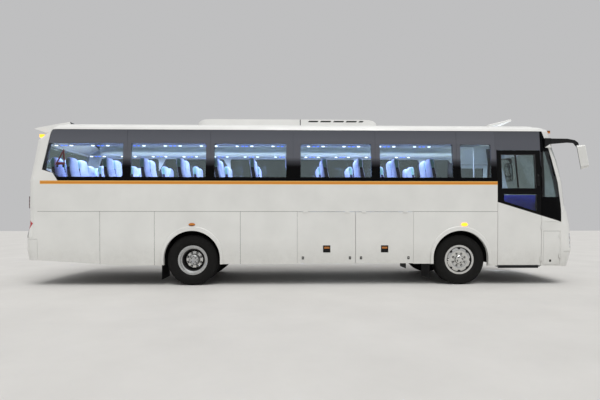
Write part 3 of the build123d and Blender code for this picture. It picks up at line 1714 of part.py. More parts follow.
# Wiper front view: pivot Y, blade's low and high ends as Y and height
wiper_rows = ((620, 60, 1800, 900, 1830), (-380, -1000, 1800, -150, 1830))
for pivot_y, blade_y, blade_low, end_y, end_height in wiper_rows:
    with BuildPart() as wiper:
        with BuildSketch(Plane.YZ.offset(at(body_length - 500))):
            with BuildLine():
                Polyline(
                    (blade_y, blade_low), (end_y, end_height), (end_y, end_height + 22),
                    (blade_y, blade_low + 22),
                    close=True,
                )
            make_face()
            middle_y = (blade_y + end_y) / 2
            with BuildLine():
                Polyline(
                    (pivot_y - 20, 1690), (pivot_y + 20, 1690), (middle_y + 16, blade_low + 20),
                    (middle_y - 16, blade_low + 20), close=True,
                )
            make_face()
        extrude(amount=600)
        add(wiper_space, mode=Mode.INTERSECT)
        add(above_skin, mode=Mode.SUBTRACT)
    wipers.append(wiper.part)
save_group(wipers, "wipers")
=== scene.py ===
# %% [markdown]
# # A touring coach, dressed in Blender
# The construction model brings the real solids: body shells, wheels, seats, doors and
# chassis, each in its place and in metres. This script gives them their finishes and adds
# what a solid modeller leaves plain: tread, padding, lamp optics, handles and trim.
# We load that model first, because every later piece is placed from it.

# %% Load the coach
from math import atan2, cos, hypot, pi, radians, sin, sqrt

import bmesh
import bpy
from mathutils import Matrix, Vector


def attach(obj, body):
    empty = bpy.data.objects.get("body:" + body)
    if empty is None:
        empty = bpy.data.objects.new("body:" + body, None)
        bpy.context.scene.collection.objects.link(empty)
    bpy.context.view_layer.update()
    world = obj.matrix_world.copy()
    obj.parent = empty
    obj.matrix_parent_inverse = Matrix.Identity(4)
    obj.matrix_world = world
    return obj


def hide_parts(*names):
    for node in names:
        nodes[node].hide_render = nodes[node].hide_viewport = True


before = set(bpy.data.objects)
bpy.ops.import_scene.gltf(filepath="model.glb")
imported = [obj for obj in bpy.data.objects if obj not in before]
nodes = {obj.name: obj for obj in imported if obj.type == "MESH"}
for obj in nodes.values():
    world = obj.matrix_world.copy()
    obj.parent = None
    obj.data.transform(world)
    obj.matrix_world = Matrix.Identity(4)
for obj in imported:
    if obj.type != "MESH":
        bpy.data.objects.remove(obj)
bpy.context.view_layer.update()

# %% [markdown]
# ## The main sizes
# Coachbuilders measure stations along the body from the rear bumper and heights from the
# ground. The body's outline is a short table: at each height, how far the side leans in and
# how far the front and rear ends are set back. Trim has to lie on that skin, so the table
# of the construction model is repeated here in metres.

# %% Sizes and the body's skin
ORIGIN_STATION = 6.025
BODY_LENGTH = 12.02
HALF_WIDTH = 1.3
REAR_AXLE = 3.58
FRONT_AXLE = 9.36
WHEEL_RADIUS = 0.54
DECK_TOP = 1.55
SEAM_HEIGHT = 1.586
SEAM_STATIONS = (1.636, 2.785, 4.608)
SEAM_REACH = 0.0036
WHEEL_PLANE = 1.1
INNER_TWIN_PLANE = 0.775
REAR_DISC_PLANE = 0.9375
SIDES = (("right", -1), ("left", 1))
FRONT_BOW = 7.0
REAR_BOW = 15.0

OUTLINE_ROWS = (
    (0.380, 0.022, 0.095, 0.070),
    (0.745, 0.006, 0.000, 0.000),
    (1.064, 0.002, 0.020, 0.000),
    (1.300, 0.000, 0.040, 0.056),
    (1.585, 0.000, 0.101, 0.058),
    (1.720, 0.000, 0.153, 0.052),
    (2.240, 0.000, 0.211, 0.060),
    (2.720, 0.041, 0.306, 0.137),
    (3.120, 0.075, 0.432, 0.190),
    (3.350, 0.095, 0.470, 0.470),
)


def at(station):
    """Turns a station into X."""
    return station - ORIGIN_STATION


def outline_at(height, column):
    """Reads one column of the outline table at a height."""
    rows = OUTLINE_ROWS
    height = min(max(height, rows[0][0]), rows[-1][0])
    for low, high in zip(rows, rows[1:]):
        if height <= high[0]:
            part = (height - low[0]) / (high[0] - low[0])
            return low[column] + part * (high[column] - low[column])
    return rows[-1][column]


def side_y(height):
    """Gives the distance of the side's skin from the middle at a height."""
    return HALF_WIDTH - outline_at(height, 1)


def front_x(height, y=0.0):
    """Gives the front skin's X at a height, on its wide bow."""
    return at(BODY_LENGTH - outline_at(height, 2)) - (FRONT_BOW - sqrt(FRONT_BOW ** 2 - y * y))


def rear_x(height, y=0.0):
    """Gives the rear skin's X at a height, on its wide bow."""
    return at(outline_at(height, 3)) + (REAR_BOW - sqrt(REAR_BOW ** 2 - y * y))


print("skin at 2.24 m:", round(side_y(2.24), 3), round(front_x(2.24), 3), round(rear_x(2.24), 3))

# %% [markdown]
# ## The camera
# The photograph was taken from the coach's right, about nine metres off and 1.4 m above the
# ground, with a wide lens held level. A level camera keeps upright edges upright, so the
# horizon is moved with the lens shift and not by tilting. We check the fit by projecting
# points whose place in the picture is known.

# %% Camera
camera_data = bpy.data.cameras.new("photo_camera")
camera_data.sensor_width = 36.0
camera_data.lens = 25.05
camera_data.shift_y = 0.0317
camera = bpy.data.objects.new("photo_camera", camera_data)
camera.location = (-0.344, -10.245, 1.425)
camera.rotation_euler = (radians(90), 0.0, radians(-1.3))
bpy.context.scene.collection.objects.link(camera)
bpy.context.scene.camera = camera
bpy.context.view_layer.update()


def picture_point(x, y, z):
    """Gives the pixel of a 600 by 400 picture where a point appears."""
    local = camera.matrix_world.inverted() @ Vector((x, y, z))
    focal = 600 * camera_data.lens / camera_data.sensor_width
    across = 300 + focal * local.x / -local.z
    down = 200 - focal * local.y / -local.z + 600 * camera_data.shift_y
    return round(across, 1), round(down, 1)


print("rear wheel, photograph 192.5 261:", picture_point(at(REAR_AXLE), -1.25, 0.54))
print("front wheel, photograph 459.8 260.1:", picture_point(at(FRONT_AXLE), -1.25, 0.54))
print("door edge, photograph 498:", picture_point(at(10.175), -1.3, 1.5))
print("front end, photograph 571:", picture_point(front_x(0.745, 1.1), -1.1, 0.744))

# %% [markdown]
# ## Making finishes
# Every finish is a small node tree around one shader. Colours are written as the hex values
# a paint chart gives, and one function turns them to the linear numbers that Blender works
# with. One more function adds a node with its settings and links, so that a tree reads as a
# list of what feeds what.

# %% Colour and node helpers
BODY_WHITE = "#E2E2DE"
GLOSS_BLACK = "#070708"
GLASS_TINT = "#A0ABAD"


def linear(hex_colour):
    """Turns an sRGB hex value to linear red, green, blue and alpha."""
    out = []
    for n in (1, 3, 5):
        value = int(hex_colour[n:n + 2], 16) / 255
        out.append(value / 12.92 if value <= 0.04045 else ((value + 0.055) / 1.055) ** 2.4)
    return (*out, 1.0)


def add_node(tree, kind, settings=None, inputs=None):
    """Adds a node, sets its properties and fills its inputs with values or links."""
    made = tree.nodes.new(kind)
    for name, value in (settings or {}).items():
        setattr(made, name, value)
    for name, value in (inputs or {}).items():
        if isinstance(value, bpy.types.NodeSocket):
            tree.links.new(value, made.inputs[name])
        else:
            made.inputs[name].default_value = value
    return made


def own_place(tree):
    """Gives the place on the coach that a pattern is drawn by, and its three axes."""
    place = add_node(tree, "ShaderNodeTexCoord").outputs["Object"]
    return place, add_node(tree, "ShaderNodeSeparateXYZ", inputs={"Vector": place})


def new_finish(name, **values):
    """Starts a finish: a named material whose shader has plain values."""
    finish = bpy.data.materials.new(name)
    finish.use_nodes = True
    tree = finish.node_tree
    shader = tree.nodes["Principled BSDF"]
    for socket, value in values.items():
        shader.inputs[socket.replace("_", " ")].default_value = value
    return finish, tree, shader


def steps_ramp(tree, factor, *stops):
    """Adds a colour ramp of position and hex pairs."""
    ramp = add_node(tree, "ShaderNodeValToRGB", inputs={"Fac": factor})
    points = ramp.color_ramp.elements
    while len(points) < len(stops):
        points.new(0.5)
    for point, (place, colour) in zip(points, stops):
        point.position = place
        point.color = linear(colour)
    return ramp.outputs["Color"]


print("white enamel in linear light:", [round(v, 3) for v in linear(BODY_WHITE)])

# %% [markdown]
# ## Coach enamel
# The body is steel sheet sprayed with two-pack white enamel. The eye sees a clear gloss
# over a slightly wavy sheet, the fine orange peel of sprayed paint, and road dust that
# thins out above the skirt. Orange peel is about 2 mm wide on a real coach and can't show
# from nine metres, so it is drawn at 15 mm.
# The orange line under the windows is masked and sprayed with the sides, so it belongs to
# the same paint. It is found by height, from 2.164 to 2.2405 m.

# %% Enamel
STRIPE_HEIGHTS = (2.164, 2.2405)


def enamel(name, colour, stripe=False, two_tone=False):
    """Makes a sprayed enamel, with the waist stripe or the black upper part where asked."""
    finish, tree, shader = new_finish(name, Roughness=0.3, IOR=1.5, Coat_Weight=0.5, Coat_Roughness=0.06)
    place, axes = own_place(tree)
    clouds = add_node(
        tree, "ShaderNodeTexNoise", inputs={"Vector": place, "Scale": 1.7, "Detail": 3.0}
    ).outputs["Fac"]
    tone = steps_ramp(tree, clouds, (0.3, colour), (0.7, shade(colour, 0.965)))
    grit = add_node(
        tree, "ShaderNodeTexNoise", inputs={"Vector": place, "Scale": 9.0, "Detail": 6.0, "Roughness": 0.7}
    ).outputs["Fac"]
    low = add_node(
        tree, "ShaderNodeMapRange",
        inputs={"Value": axes.outputs["Z"], "From Min": 1.0, "From Max": 0.42, "To Min": 0.0, "To Max": 0.42},
    ).outputs["Result"]
    dust = add_node(
        tree, "ShaderNodeMath", {"operation": "MULTIPLY", "use_clamp": True}, {0: low, 1: grit}
    ).outputs["Value"]
    colour_now = add_node(
        tree, "ShaderNodeMix", {"data_type": "RGBA"}, {"Factor": dust, "A": tone, "B": linear("#8F8A80")}
    ).outputs["Result"]
    if stripe:
        across = add_node(
            tree, "ShaderNodeMapRange",
            inputs={"Value": axes.outputs["Z"], "From Min": 2.160, "From Max": 2.249},
        ).outputs["Result"]
        paint = steps_ramp(
            tree, across, (0.0, "#E9C877"), (0.13, "#E9C877"), (0.2, "#D0801A"), (0.62, "#D98A20"),
            (0.86, "#E3B25E"), (1.0, "#EED9A4"),
        )
        ahead = add_node(
            tree, "ShaderNodeMath", {"operation": "GREATER_THAN"}, {0: axes.outputs["X"], 1: at(0.383)}
        )
        in_line = between(tree, axes.outputs["Z"], *STRIPE_HEIGHTS)
        within = add_node(
            tree, "ShaderNodeMath", {"operation": "MULTIPLY"}, {0: in_line, 1: ahead.outputs[0]}
        )
        colour_now = add_node(
            tree, "ShaderNodeMix", {"data_type": "RGBA"},
            {"Factor": within.outputs[0], "A": colour_now, "B": paint},
        ).outputs["Result"]
    if two_tone:
        colour_now = add_node(
            tree, "ShaderNodeMix", {"data_type": "RGBA"},
            {"Factor": above_slant(tree, axes), "A": colour_now, "B": linear(GLOSS_BLACK)},
        ).outputs["Result"]
        fade(tree, shader, above_slant(tree, axes), "Coat Weight", 0.5, 0.04)
        fade(tree, shader, above_slant(tree, axes), "Specular IOR Level", 0.5, 0.1)
    tree.links.new(colour_now, shader.inputs["Base Color"])
    peel = add_node(tree, "ShaderNodeTexNoise", inputs={"Vector": place, "Scale": 66.0, "Detail": 2.0})
    bump = add_node(
        tree, "ShaderNodeBump", inputs={"Height": peel.outputs["Fac"], "Strength": 0.06, "Distance": 0.002}
    )
    waves = add_node(tree, "ShaderNodeTexNoise", inputs={"Vector": place, "Scale": 2.4, "Detail": 1.0})
    sheet = add_node(
        tree, "ShaderNodeBump",
        inputs={
            "Height": waves.outputs["Fac"], "Strength": 0.25, "Distance": 0.012,
            "Normal": bump.outputs["Normal"],
        },
    )
    tree.links.new(sheet.outputs["Normal"], shader.inputs["Normal"])
    return finish


def shade(hex_colour, share):
    """Darkens a hex value by a share."""
    return "#" + "".join(f"{round(int(hex_colour[n:n + 2], 16) * share):02X}" for n in (1, 3, 5))


def fade(tree, shader, mask, socket, outside, inside):
    """Gives a shader's socket one value outside a mask and another inside it."""
    level = add_node(
        tree, "ShaderNodeMath", {"operation": "MULTIPLY_ADD"}, {0: mask, 1: inside - outside, 2: outside}
    )
    tree.links.new(level.outputs[0], shader.inputs[socket])


def between(tree, value, low, high):
    """Gives 1 where a value lies between two others."""
    made = add_node(
        tree, "ShaderNodeMath", {"operation": "COMPARE"},
        {0: value, 1: (low + high) / 2, 2: (high - low) / 2},
    )
    return made.outputs[0]


SLANT_STATION, SLANT_HEIGHT, SLANT_FALL = 10.207, 1.782, 0.3054


def above_slant(tree, axes):
    """Gives 1 above the slanted lower edge of the black, which falls from the door to the nose."""
    slope = add_node(
        tree, "ShaderNodeMath", {"operation": "MULTIPLY_ADD"},
        {0: axes.outputs["X"], 1: -SLANT_FALL, 2: SLANT_HEIGHT + SLANT_FALL * at(SLANT_STATION)},
    )
    edge = add_node(tree, "ShaderNodeMath", {"operation": "MINIMUM"}, {0: slope.outputs[0], 1: 1.85})
    upper = add_node(
        tree, "ShaderNodeMath", {"operation": "GREATER_THAN"}, {0: axes.outputs["Z"], 1: edge.outputs[0]}
    )
    return upper.outputs[0]


def band_colour_with_painted_sky_reflection(tree, height, top, middle):
    """Gives the window band's colour: black at the waist, and above it a grey that is a painted reflection of
    the sky, a little darker at the very top as painted shade.
    """
    up = add_node(
        tree, "ShaderNodeMapRange", inputs={"Value": height, "From Min": 2.24, "From Max": 3.35}
    ).outputs["Result"]
    return steps_ramp(
        tree, up, (0.0, "#030304"), (0.28, "#050506"), (0.38, middle), (0.46, top), (0.8, top),
        (1.0, shade(top, 0.93)),
    )


white_enamel = enamel("white_coach_enamel", BODY_WHITE)
side_enamel = enamel("white_enamel_with_waist_stripe", BODY_WHITE, stripe=True)
door_enamel = enamel("two_tone_enamel", BODY_WHITE, two_tone=True)
# The roof's white is a lighter copy of the body's enamel: painted light from above.
roof_enamel_with_painted_light = enamel("roof_enamel_with_painted_light", "#EDEDEA")
print("enamels:", white_enamel.name, side_enamel.name, door_enamel.name, roof_enamel_with_painted_light.name)

# %% [markdown]
# ## The dark band and the glass
# Between the windows the glass is backed by a fired black border, so frame and pane read
# as one dark band. The band is black at the waist and grey higher up: that grey is a painted
# reflection of the sky, and its slight darkening at the very top is painted shade. The panes
# themselves are 6 mm toughened glass with a grey tint: clear enough to show the lit seats,
# and as smooth as float glass is, with only a slight distortion that tempering leaves.

# %% Band and glass
band_with_painted_sky_reflection, tree, shader = new_finish("black_border_with_painted_sky_reflection", Roughness=0.2, IOR=1.5, Specular_IOR_Level=0.12)
place, axes = own_place(tree)
mottle = add_node(tree, "ShaderNodeTexNoise", inputs={"Vector": place, "Scale": 30.0, "Detail": 4.0})
# The band turns from black at the waist to a grey that is a painted reflection of the sky, and darkens a
# little at the top as painted shade.
shaded = add_node(
    tree, "ShaderNodeMix", {"data_type": "RGBA", "blend_type": "MULTIPLY"},
    {
        "Factor": 0.06, "A": band_colour_with_painted_sky_reflection(tree, axes.outputs["Z"], "#5A5C63", "#3A3B40"),
        "B": mottle.outputs["Color"],
    },
)
nose = add_node(
    tree, "ShaderNodeMath", {"operation": "GREATER_THAN"}, {0: axes.outputs["X"], 1: at(11.14)}
)
shaded = add_node(
    tree, "ShaderNodeMix", {"data_type": "RGBA"},
    {"Factor": nose.outputs[0], "A": shaded.outputs["Result"], "B": linear(GLOSS_BLACK)},
)
both = add_node(
    tree, "ShaderNodeMix", {"data_type": "RGBA"},
    {"Factor": above_slant(tree, axes), "A": linear(BODY_WHITE), "B": shaded.outputs["Result"]},
)
tree.links.new(both.outputs["Result"], shader.inputs["Base Color"])


def tinted(name, colour):
    """Makes a tinted sheet of glass with the faint waves of tempering."""
    finish, tree, shader = new_finish(
        name, Roughness=0.0, IOR=1.45, Transmission_Weight=1.0, Base_Color=linear(colour),
        Specular_IOR_Level=0.3,
    )
    place = add_node(tree, "ShaderNodeTexCoord").outputs["Object"]
    waves = add_node(tree, "ShaderNodeTexNoise", inputs={"Vector": place, "Scale": 1.6, "Detail": 1.0})
    bump = add_node(
        tree, "ShaderNodeBump", inputs={"Height": waves.outputs["Fac"], "Strength": 0.1, "Distance": 0.004}
    )
    tree.links.new(bump.outputs["Normal"], shader.inputs["Normal"])
    return finish


CLEAR_PANES = (
    (0.400, 2.104), (2.276, 3.868), (4.048, 5.587), (5.899, 7.427), (7.616, 9.201), (9.371, 10.040),
)
side_tint = tinted("grey_toughened_glass", GLASS_TINT)
bordered_glass_with_painted_sky_reflection = tinted("glass_border_with_painted_sky_reflection", GLASS_TINT)
tree = bordered_glass_with_painted_sky_reflection.node_tree
place, axes = own_place(tree)
clear = between(tree, axes.outputs["X"], *map(at, CLEAR_PANES[0]))
for start, end in CLEAR_PANES[1:]:
    pane = between(tree, axes.outputs["X"], at(start), at(end))
    clear = add_node(tree, "ShaderNodeMath", {"operation": "ADD"}, {0: clear, 1: pane}).outputs[0]
clear = add_node(
    tree, "ShaderNodeMath", {"operation": "MULTIPLY"},
    {0: clear, 1: between(tree, axes.outputs["Z"], 2.322, 3.048)},
).outputs[0]
# Outside the clear panes the border takes the band's colour, with the same painted sky reflection and painted
# shade.
back_paint = add_node(
    tree, "ShaderNodeMix", {"data_type": "RGBA"},
    {
        "Factor": clear, "A": band_colour_with_painted_sky_reflection(tree, axes.outputs["Z"], "#5E6067", "#3A3B40"),
        "B": linear(GLASS_TINT),
    },
)
shader = tree.nodes["Principled BSDF"]
tree.links.new(back_paint.outputs["Result"], shader.inputs["Base Color"])
tree.links.new(clear, shader.inputs["Transmission Weight"])
fade(tree, shader, clear, "Specular IOR Level", 0.1, 0.3)
fade(tree, shader, clear, "Roughness", 0.2, 0.0)
quarter_tint = tinted("painted_quarter_pane", GLASS_TINT)
tree = quarter_tint.node_tree
place, axes = own_place(tree)
clear = between(tree, axes.outputs["Z"], 1.905, 2.904)
back_paint = add_node(
    tree, "ShaderNodeMix", {"data_type": "RGBA"},
    {"Factor": above_slant(tree, axes), "A": linear(BODY_WHITE), "B": linear(GLOSS_BLACK)},
)
back_paint = add_node(
    tree, "ShaderNodeMix", {"data_type": "RGBA"},
    {"Factor": clear, "A": back_paint.outputs["Result"], "B": linear(GLASS_TINT)},
)
shader = tree.nodes["Principled BSDF"]
tree.links.new(back_paint.outputs["Result"], shader.inputs["Base Color"])
tree.links.new(clear, shader.inputs["Transmission Weight"])
fade(tree, shader, clear, "Specular IOR Level", 0.08, 0.3)
screen_tint = tinted("laminated_windscreen", "#BECBC7")
print("glass:", side_tint.name, quarter_tint.name, screen_tint.name)

# %% [markdown]
# ## Rubber, metals and plastics
# Tyres are carbon-black rubber, dull and a little browned by dust. The wheels are pressed
# steel with a bright finish, the axle castings are rough iron, and the chassis has a satin
# black wax. Moulded black plastic has a fine grain. Each gets its own scale of unevenness.

# %% Workshop finishes
def worked(name, colours, scale, bump_mm, stretch=(1, 1, 1), **values):
    """Makes an opaque finish whose colour and surface vary with one noise."""
    finish, tree, shader = new_finish(name, **values)
    place = add_node(tree, "ShaderNodeTexCoord").outputs["Object"]
    spread = add_node(tree, "ShaderNodeMapping", inputs={"Vector": place, "Scale": stretch}).outputs["Vector"]
    noise = add_node(
        tree, "ShaderNodeTexNoise",
        inputs={"Vector": spread, "Scale": scale, "Detail": 5.0, "Roughness": 0.6},
    ).outputs["Fac"]
    tone = steps_ramp(tree, noise, (0.32, colours[0]), (0.68, colours[1]))
    tree.links.new(tone, shader.inputs["Base Color"])
    bump = add_node(
        tree, "ShaderNodeBump", inputs={"Height": noise, "Strength": 0.6, "Distance": bump_mm / 1000}
    )
    tree.links.new(bump.outputs["Normal"], shader.inputs["Normal"])
    return finish


tyre_rubber = worked(
    "tyre_rubber", ("#0D0D0C", "#181716"), 40, 0.6, Roughness=0.85, IOR=1.5, Specular_IOR_Level=0.22
)
bright_steel = worked(
    "plated_wheel_steel", ("#C9C9C6", "#DADAD8"), 14, 0.15, Metallic=1.0, Roughness=0.22
)
silver_paint = worked("silver_wheel_paint", ("#A9AAAA", "#BFC0BF"), 22, 0.2, Metallic=0.75, Roughness=0.38)
# Besides real dark steel parts, this finish is painted shade in the wheels: in the rims' dishes, on the
# washers and in the cap slots.
dark_steel_and_painted_shade = worked("shadowed_steel", ("#2A2A2A", "#3A3A39"), 30, 0.3, Metallic=0.6, Roughness=0.5)
chassis_wax = worked(
    "chassis_wax", ("#0C0C0C", "#1D1B19"), 12, 0.8, Roughness=0.6, IOR=1.5, Specular_IOR_Level=0.25
)
cast_iron = worked("sand_cast_iron", ("#232220", "#3A3733"), 55, 1.4, Metallic=0.5, Roughness=0.7)
tank_alloy = worked(
    "rolled_aluminium", ("#9B9D9E", "#B9BBBC"), 20, 0.3, stretch=(1, 6, 6), Metallic=1.0, Roughness=0.42
)
black_plastic = worked(
    "grained_black_plastic", ("#0B0B0C", "#161617"), 180, 0.4, Roughness=0.5, IOR=1.46, Specular_IOR_Level=0.3
)
seal_rubber = worked(
    "window_rubber", ("#050505", "#0C0C0C"), 90, 0.2, Roughness=0.65, IOR=1.5, Specular_IOR_Level=0.3
)
grey_lining = worked("laminated_lining", ("#9EA6AC", "#B2B9BE"), 60, 0.4, Roughness=0.6, IOR=1.48)
ceiling_lining = worked("perforated_ceiling", ("#C2CACF", "#D2D8DB"), 45, 0.4, Roughness=0.6, IOR=1.48)
floor_vinyl = worked("flecked_floor_vinyl", ("#4A4D50", "#6A6D6F"), 220, 0.2, Roughness=0.55, IOR=1.5)
mirror_glass, tree, shader = new_finish("silvered_mirror", Metallic=1.0, Roughness=0.03)
place = add_node(tree, "ShaderNodeTexCoord").outputs["Object"]
film = add_node(
    tree, "ShaderNodeTexNoise", inputs={"Vector": place, "Scale": 5.0, "Detail": 2.0}
).outputs["Fac"]
tree.links.new(steps_ramp(tree, film, (0.3, "#C8CCCE"), (0.7, "#D6DADB")), shader.inputs["Base Color"])
print("workshop finishes made")

# %% [markdown]
# ## Cloth
# Seats are covered in moquette, a cut pile woven in dark indigo. The head covers are pale
# cotton sateen, and the blue that the night lights cast on them is painted into their
# colour. A plain weave is drawn as two crossed sets of waves. Real threads are 0.5 mm apart
# and would vanish in the render, so they are drawn at 6 mm, and at 8 mm on the curtain.

# %% Woven finishes
def woven(name, warp, weft, thread_mm, sheen=0.25):
    """Makes a cloth of two crossed thread waves."""
    finish, tree, shader = new_finish(name, Roughness=0.85, IOR=1.45, Sheen_Weight=sheen, Sheen_Roughness=0.4)
    place = add_node(tree, "ShaderNodeTexCoord").outputs["Object"]
    across = {}
    for axis in ("X", "Z"):
        across[axis] = add_node(
            tree, "ShaderNodeTexWave", {"bands_direction": axis},
            {"Vector": place, "Scale": 1000 / thread_mm / 20, "Distortion": 1.2, "Detail": 1.0},
        ).outputs["Fac"]
    threads = add_node(
        tree, "ShaderNodeMath", {"operation": "MULTIPLY"}, {0: across["X"], 1: across["Z"]}
    ).outputs["Value"]
    cloud = add_node(
        tree, "ShaderNodeTexNoise", inputs={"Vector": place, "Scale": 7.0, "Detail": 3.0}
    ).outputs["Fac"]
    mixed = add_node(tree, "ShaderNodeMath", {"operation": "MULTIPLY_ADD"}, {0: threads, 1: 0.4, 2: cloud})
    tone = steps_ramp(tree, mixed.outputs[0], (0.35, warp), (0.85, weft))
    tree.links.new(tone, shader.inputs["Base Color"])
    bump = add_node(tree, "ShaderNodeBump", inputs={"Height": threads, "Strength": 0.4, "Distance": 0.0008})
    tree.links.new(bump.outputs["Normal"], shader.inputs["Normal"])
    return finish


moquette = woven("indigo_moquette", "#1B1430", "#332A55", 6)
# Pale cotton whose blue is painted light from the night lights.
pale_cotton_with_painted_blue_light = woven("head_cover_cotton_with_painted_blue_light", "#A9B6EE", "#C9D3F8", 6, sheen=0.1)
teal_cloth = woven("teal_side_cloth", "#86BDB8", "#A8D4CE", 6, sheen=0.1)
curtain_cotton = woven("curtain_cotton", "#D4D4DE", "#E8E8EE", 8, sheen=0.1)
print("cloths:", moquette.name, pale_cotton_with_painted_blue_light.name, teal_cloth.name, curtain_cotton.name)

# %% [markdown]
# ## Lamps
# A lamp lens is moulded clear, amber or red plastic with small prisms on its back, which
# scatter the light. The front side marker and the rear corner lamp are lit in the picture,
# and so are the reading lights and the blue night lights in the cabin.

# %% Lamp finishes
def lens(name, colour, glow=0.0, pitch_mm=12):
    """Makes a ribbed moulded lens, lit by its own glow where asked."""
    finish, tree, shader = new_finish(
        name, Roughness=0.12, IOR=1.49, Coat_Weight=0.6, Coat_Roughness=0.03,
        Emission_Color=linear(colour), Emission_Strength=glow,
    )
    place = add_node(tree, "ShaderNodeTexCoord").outputs["Object"]
    ribs = add_node(
        tree, "ShaderNodeTexWave", {"bands_direction": "Z"},
        {"Vector": place, "Scale": 1000 / pitch_mm / 20, "Distortion": 0.0},
    ).outputs["Fac"]
    tone = steps_ramp(tree, ribs, (0.2, shade(colour, 0.62)), (0.8, colour))
    tree.links.new(tone, shader.inputs["Base Color"])
    bump = add_node(tree, "ShaderNodeBump", inputs={"Height": ribs, "Strength": 0.5, "Distance": 0.0015})
    tree.links.new(bump.outputs["Normal"], shader.inputs["Normal"])
    return finish


red_lens = lens("red_lamp_lens", "#A3121C")
amber_lens = lens("amber_lamp_lens", "#C8761E")
amber_lit = lens("lit_amber_lens", "#FFB01E", glow=2.2)
smoke_lens = lens("smoked_reflector_strip", "#8A7478")
clear_lens = lens("clear_lamp_lens", "#C9CDD0", pitch_mm=18)
corner_lamp, tree, shader = new_finish(
    "rear_corner_lamp", Roughness=0.15, IOR=1.49, Coat_Weight=0.6, Coat_Roughness=0.04
)
place, axes = own_place(tree)
RED_POINT_STATION, RED_POINT_HEIGHT = 0.239, 1.331
high_edge = add_node(
    tree, "ShaderNodeMath", {"operation": "MULTIPLY_ADD"},
    {0: axes.outputs["X"], 1: -0.75, 2: RED_POINT_HEIGHT + 0.75 * at(RED_POINT_STATION)},
)
low_edge = add_node(
    tree, "ShaderNodeMath", {"operation": "MULTIPLY_ADD"},
    {0: axes.outputs["X"], 1: 1.2, 2: RED_POINT_HEIGHT - 1.2 * at(RED_POINT_STATION)},
)
under = add_node(
    tree, "ShaderNodeMath", {"operation": "LESS_THAN"}, {0: axes.outputs["Z"], 1: high_edge.outputs[0]}
)
over = add_node(
    tree, "ShaderNodeMath", {"operation": "GREATER_THAN"}, {0: axes.outputs["Z"], 1: low_edge.outputs[0]}
)
red_part = add_node(
    tree, "ShaderNodeMath", {"operation": "MULTIPLY"}, {0: under.outputs[0], 1: over.outputs[0]}
)
side_part = add_node(
    tree, "ShaderNodeMath", {"operation": "GREATER_THAN"}, {0: axes.outputs["X"], 1: at(0.125)}
)
grain = add_node(
    tree, "ShaderNodeTexNoise", inputs={"Vector": place, "Scale": 60.0, "Detail": 3.0}
).outputs["Fac"]
smoked = steps_ramp(tree, grain, (0.3, "#1D1B1F"), (0.7, "#29262B"))
cover = add_node(
    tree, "ShaderNodeMix", {"data_type": "RGBA"},
    {"Factor": side_part.outputs[0], "A": smoked, "B": linear(BODY_WHITE)},
)
cover = add_node(
    tree, "ShaderNodeMix", {"data_type": "RGBA"},
    {"Factor": red_part.outputs[0], "A": cover.outputs["Result"], "B": linear("#B5101E")},
)
tree.links.new(cover.outputs["Result"], shader.inputs["Base Color"])
reading_light = lens("lit_reading_light", "#F4F8FF", glow=9.0, pitch_mm=6)
night_light = lens("lit_blue_night_light", "#3C6CFF", glow=6.0, pitch_mm=6)
blue_vinyl = worked("blue_trim_vinyl", ("#4650F0", "#545CFF"), 70, 0.4, Roughness=0.5, IOR=1.5)
warning_red = worked("red_reflective_film", ("#F0303A", "#FF4A4E"), 60, 0.2, Roughness=0.35, IOR=1.5)
print("lenses made")

# %% [markdown]
# ## Finishes onto the solids
# Most solids keep their shape and only take a finish. Where one solid has two finishes, such
# as a panel that is enamel outside and lined inside, the choice is made face by face from
# where the face lies and which way it looks. Vertices stay where they are.

# %% Assign finishes
plain = {
    "luggage_bays": grey_lining, "tanks_and_exhaust": tank_alloy, "floor_deck": floor_vinyl,
    "mud_flaps": seal_rubber, "side_panels": side_enamel, "window_frames": band_with_painted_sky_reflection,
    "side_glass": bordered_glass_with_painted_sky_reflection, "end_glass": screen_tint, "lamps": clear_lens,
    "racks_and_handrails": ceiling_lining, "cab_curtain": curtain_cotton,
}
shared = (
    (chassis_wax, (
        "chassis_frame", "body_bearers", "front_axle", "rear_axle", "leaf_springs", "prop_shaft",
        "underfloor_linings", "track_rod",
    )),
    (cast_iron, ("engine_block", "knuckle_left", "knuckle_right")),
    (roof_enamel_with_painted_light, ("roof_panel", "roof_unit", "rear_visor", "roof_hatch")),
    (white_enamel, (
        "front_panel", "rear_panel", "bumpers", "mirrors", "service_flap", "boot_door",
        *(f"luggage_flap_{side}_{n}" for side, sign in SIDES for n in (1, 2)),
    )),
    (black_plastic, ("wipers", "dashboard", "steering_wheel")),
    (moquette, ("passenger_seats", "driver_seat")),
    (door_enamel, ("driver_door", "passenger_door")),
    (side_tint, ("driver_door_glass", "passenger_door_glass")),
    (bright_steel, [f"front_{side}_rim" for side, sign in SIDES]),
    (silver_paint, [f"rear_{side}_rims" for side, sign in SIDES]),
    (tyre_rubber, [name for side, sign in SIDES for name in (f"front_{side}_tyre", f"rear_{side}_tyres")]),
)
for finish, names in shared:
    plain.update(dict.fromkeys(names, finish))
for name, finish in plain.items():
    mesh = nodes[name].data
    mesh.materials.clear()
    mesh.materials.append(finish)
    for face in mesh.polygons:
        face.material_index = 0


def second_finish(name, finish, test):
    """Gives another finish to the faces that a test picks by centre and direction."""
    mesh = nodes[name].data
    mesh.materials.append(finish)
    number = len(mesh.materials) - 1
    picked = 0
    for face in mesh.polygons:
        if test(face.center, face.normal):
            face.material_index = number
            picked += 1
    return picked


def in_seam(c, n):
    """Finds the floors and walls of the seams between the side's sheets."""
    if not 0.003 < side_y(c.z) - abs(c.y) < 0.030 or c.z > 1.6:
        return False
    upright = any(abs(c.x - at(station)) < SEAM_REACH for station in SEAM_STATIONS)
    return upright or abs(c.z - SEAM_HEIGHT) < SEAM_REACH


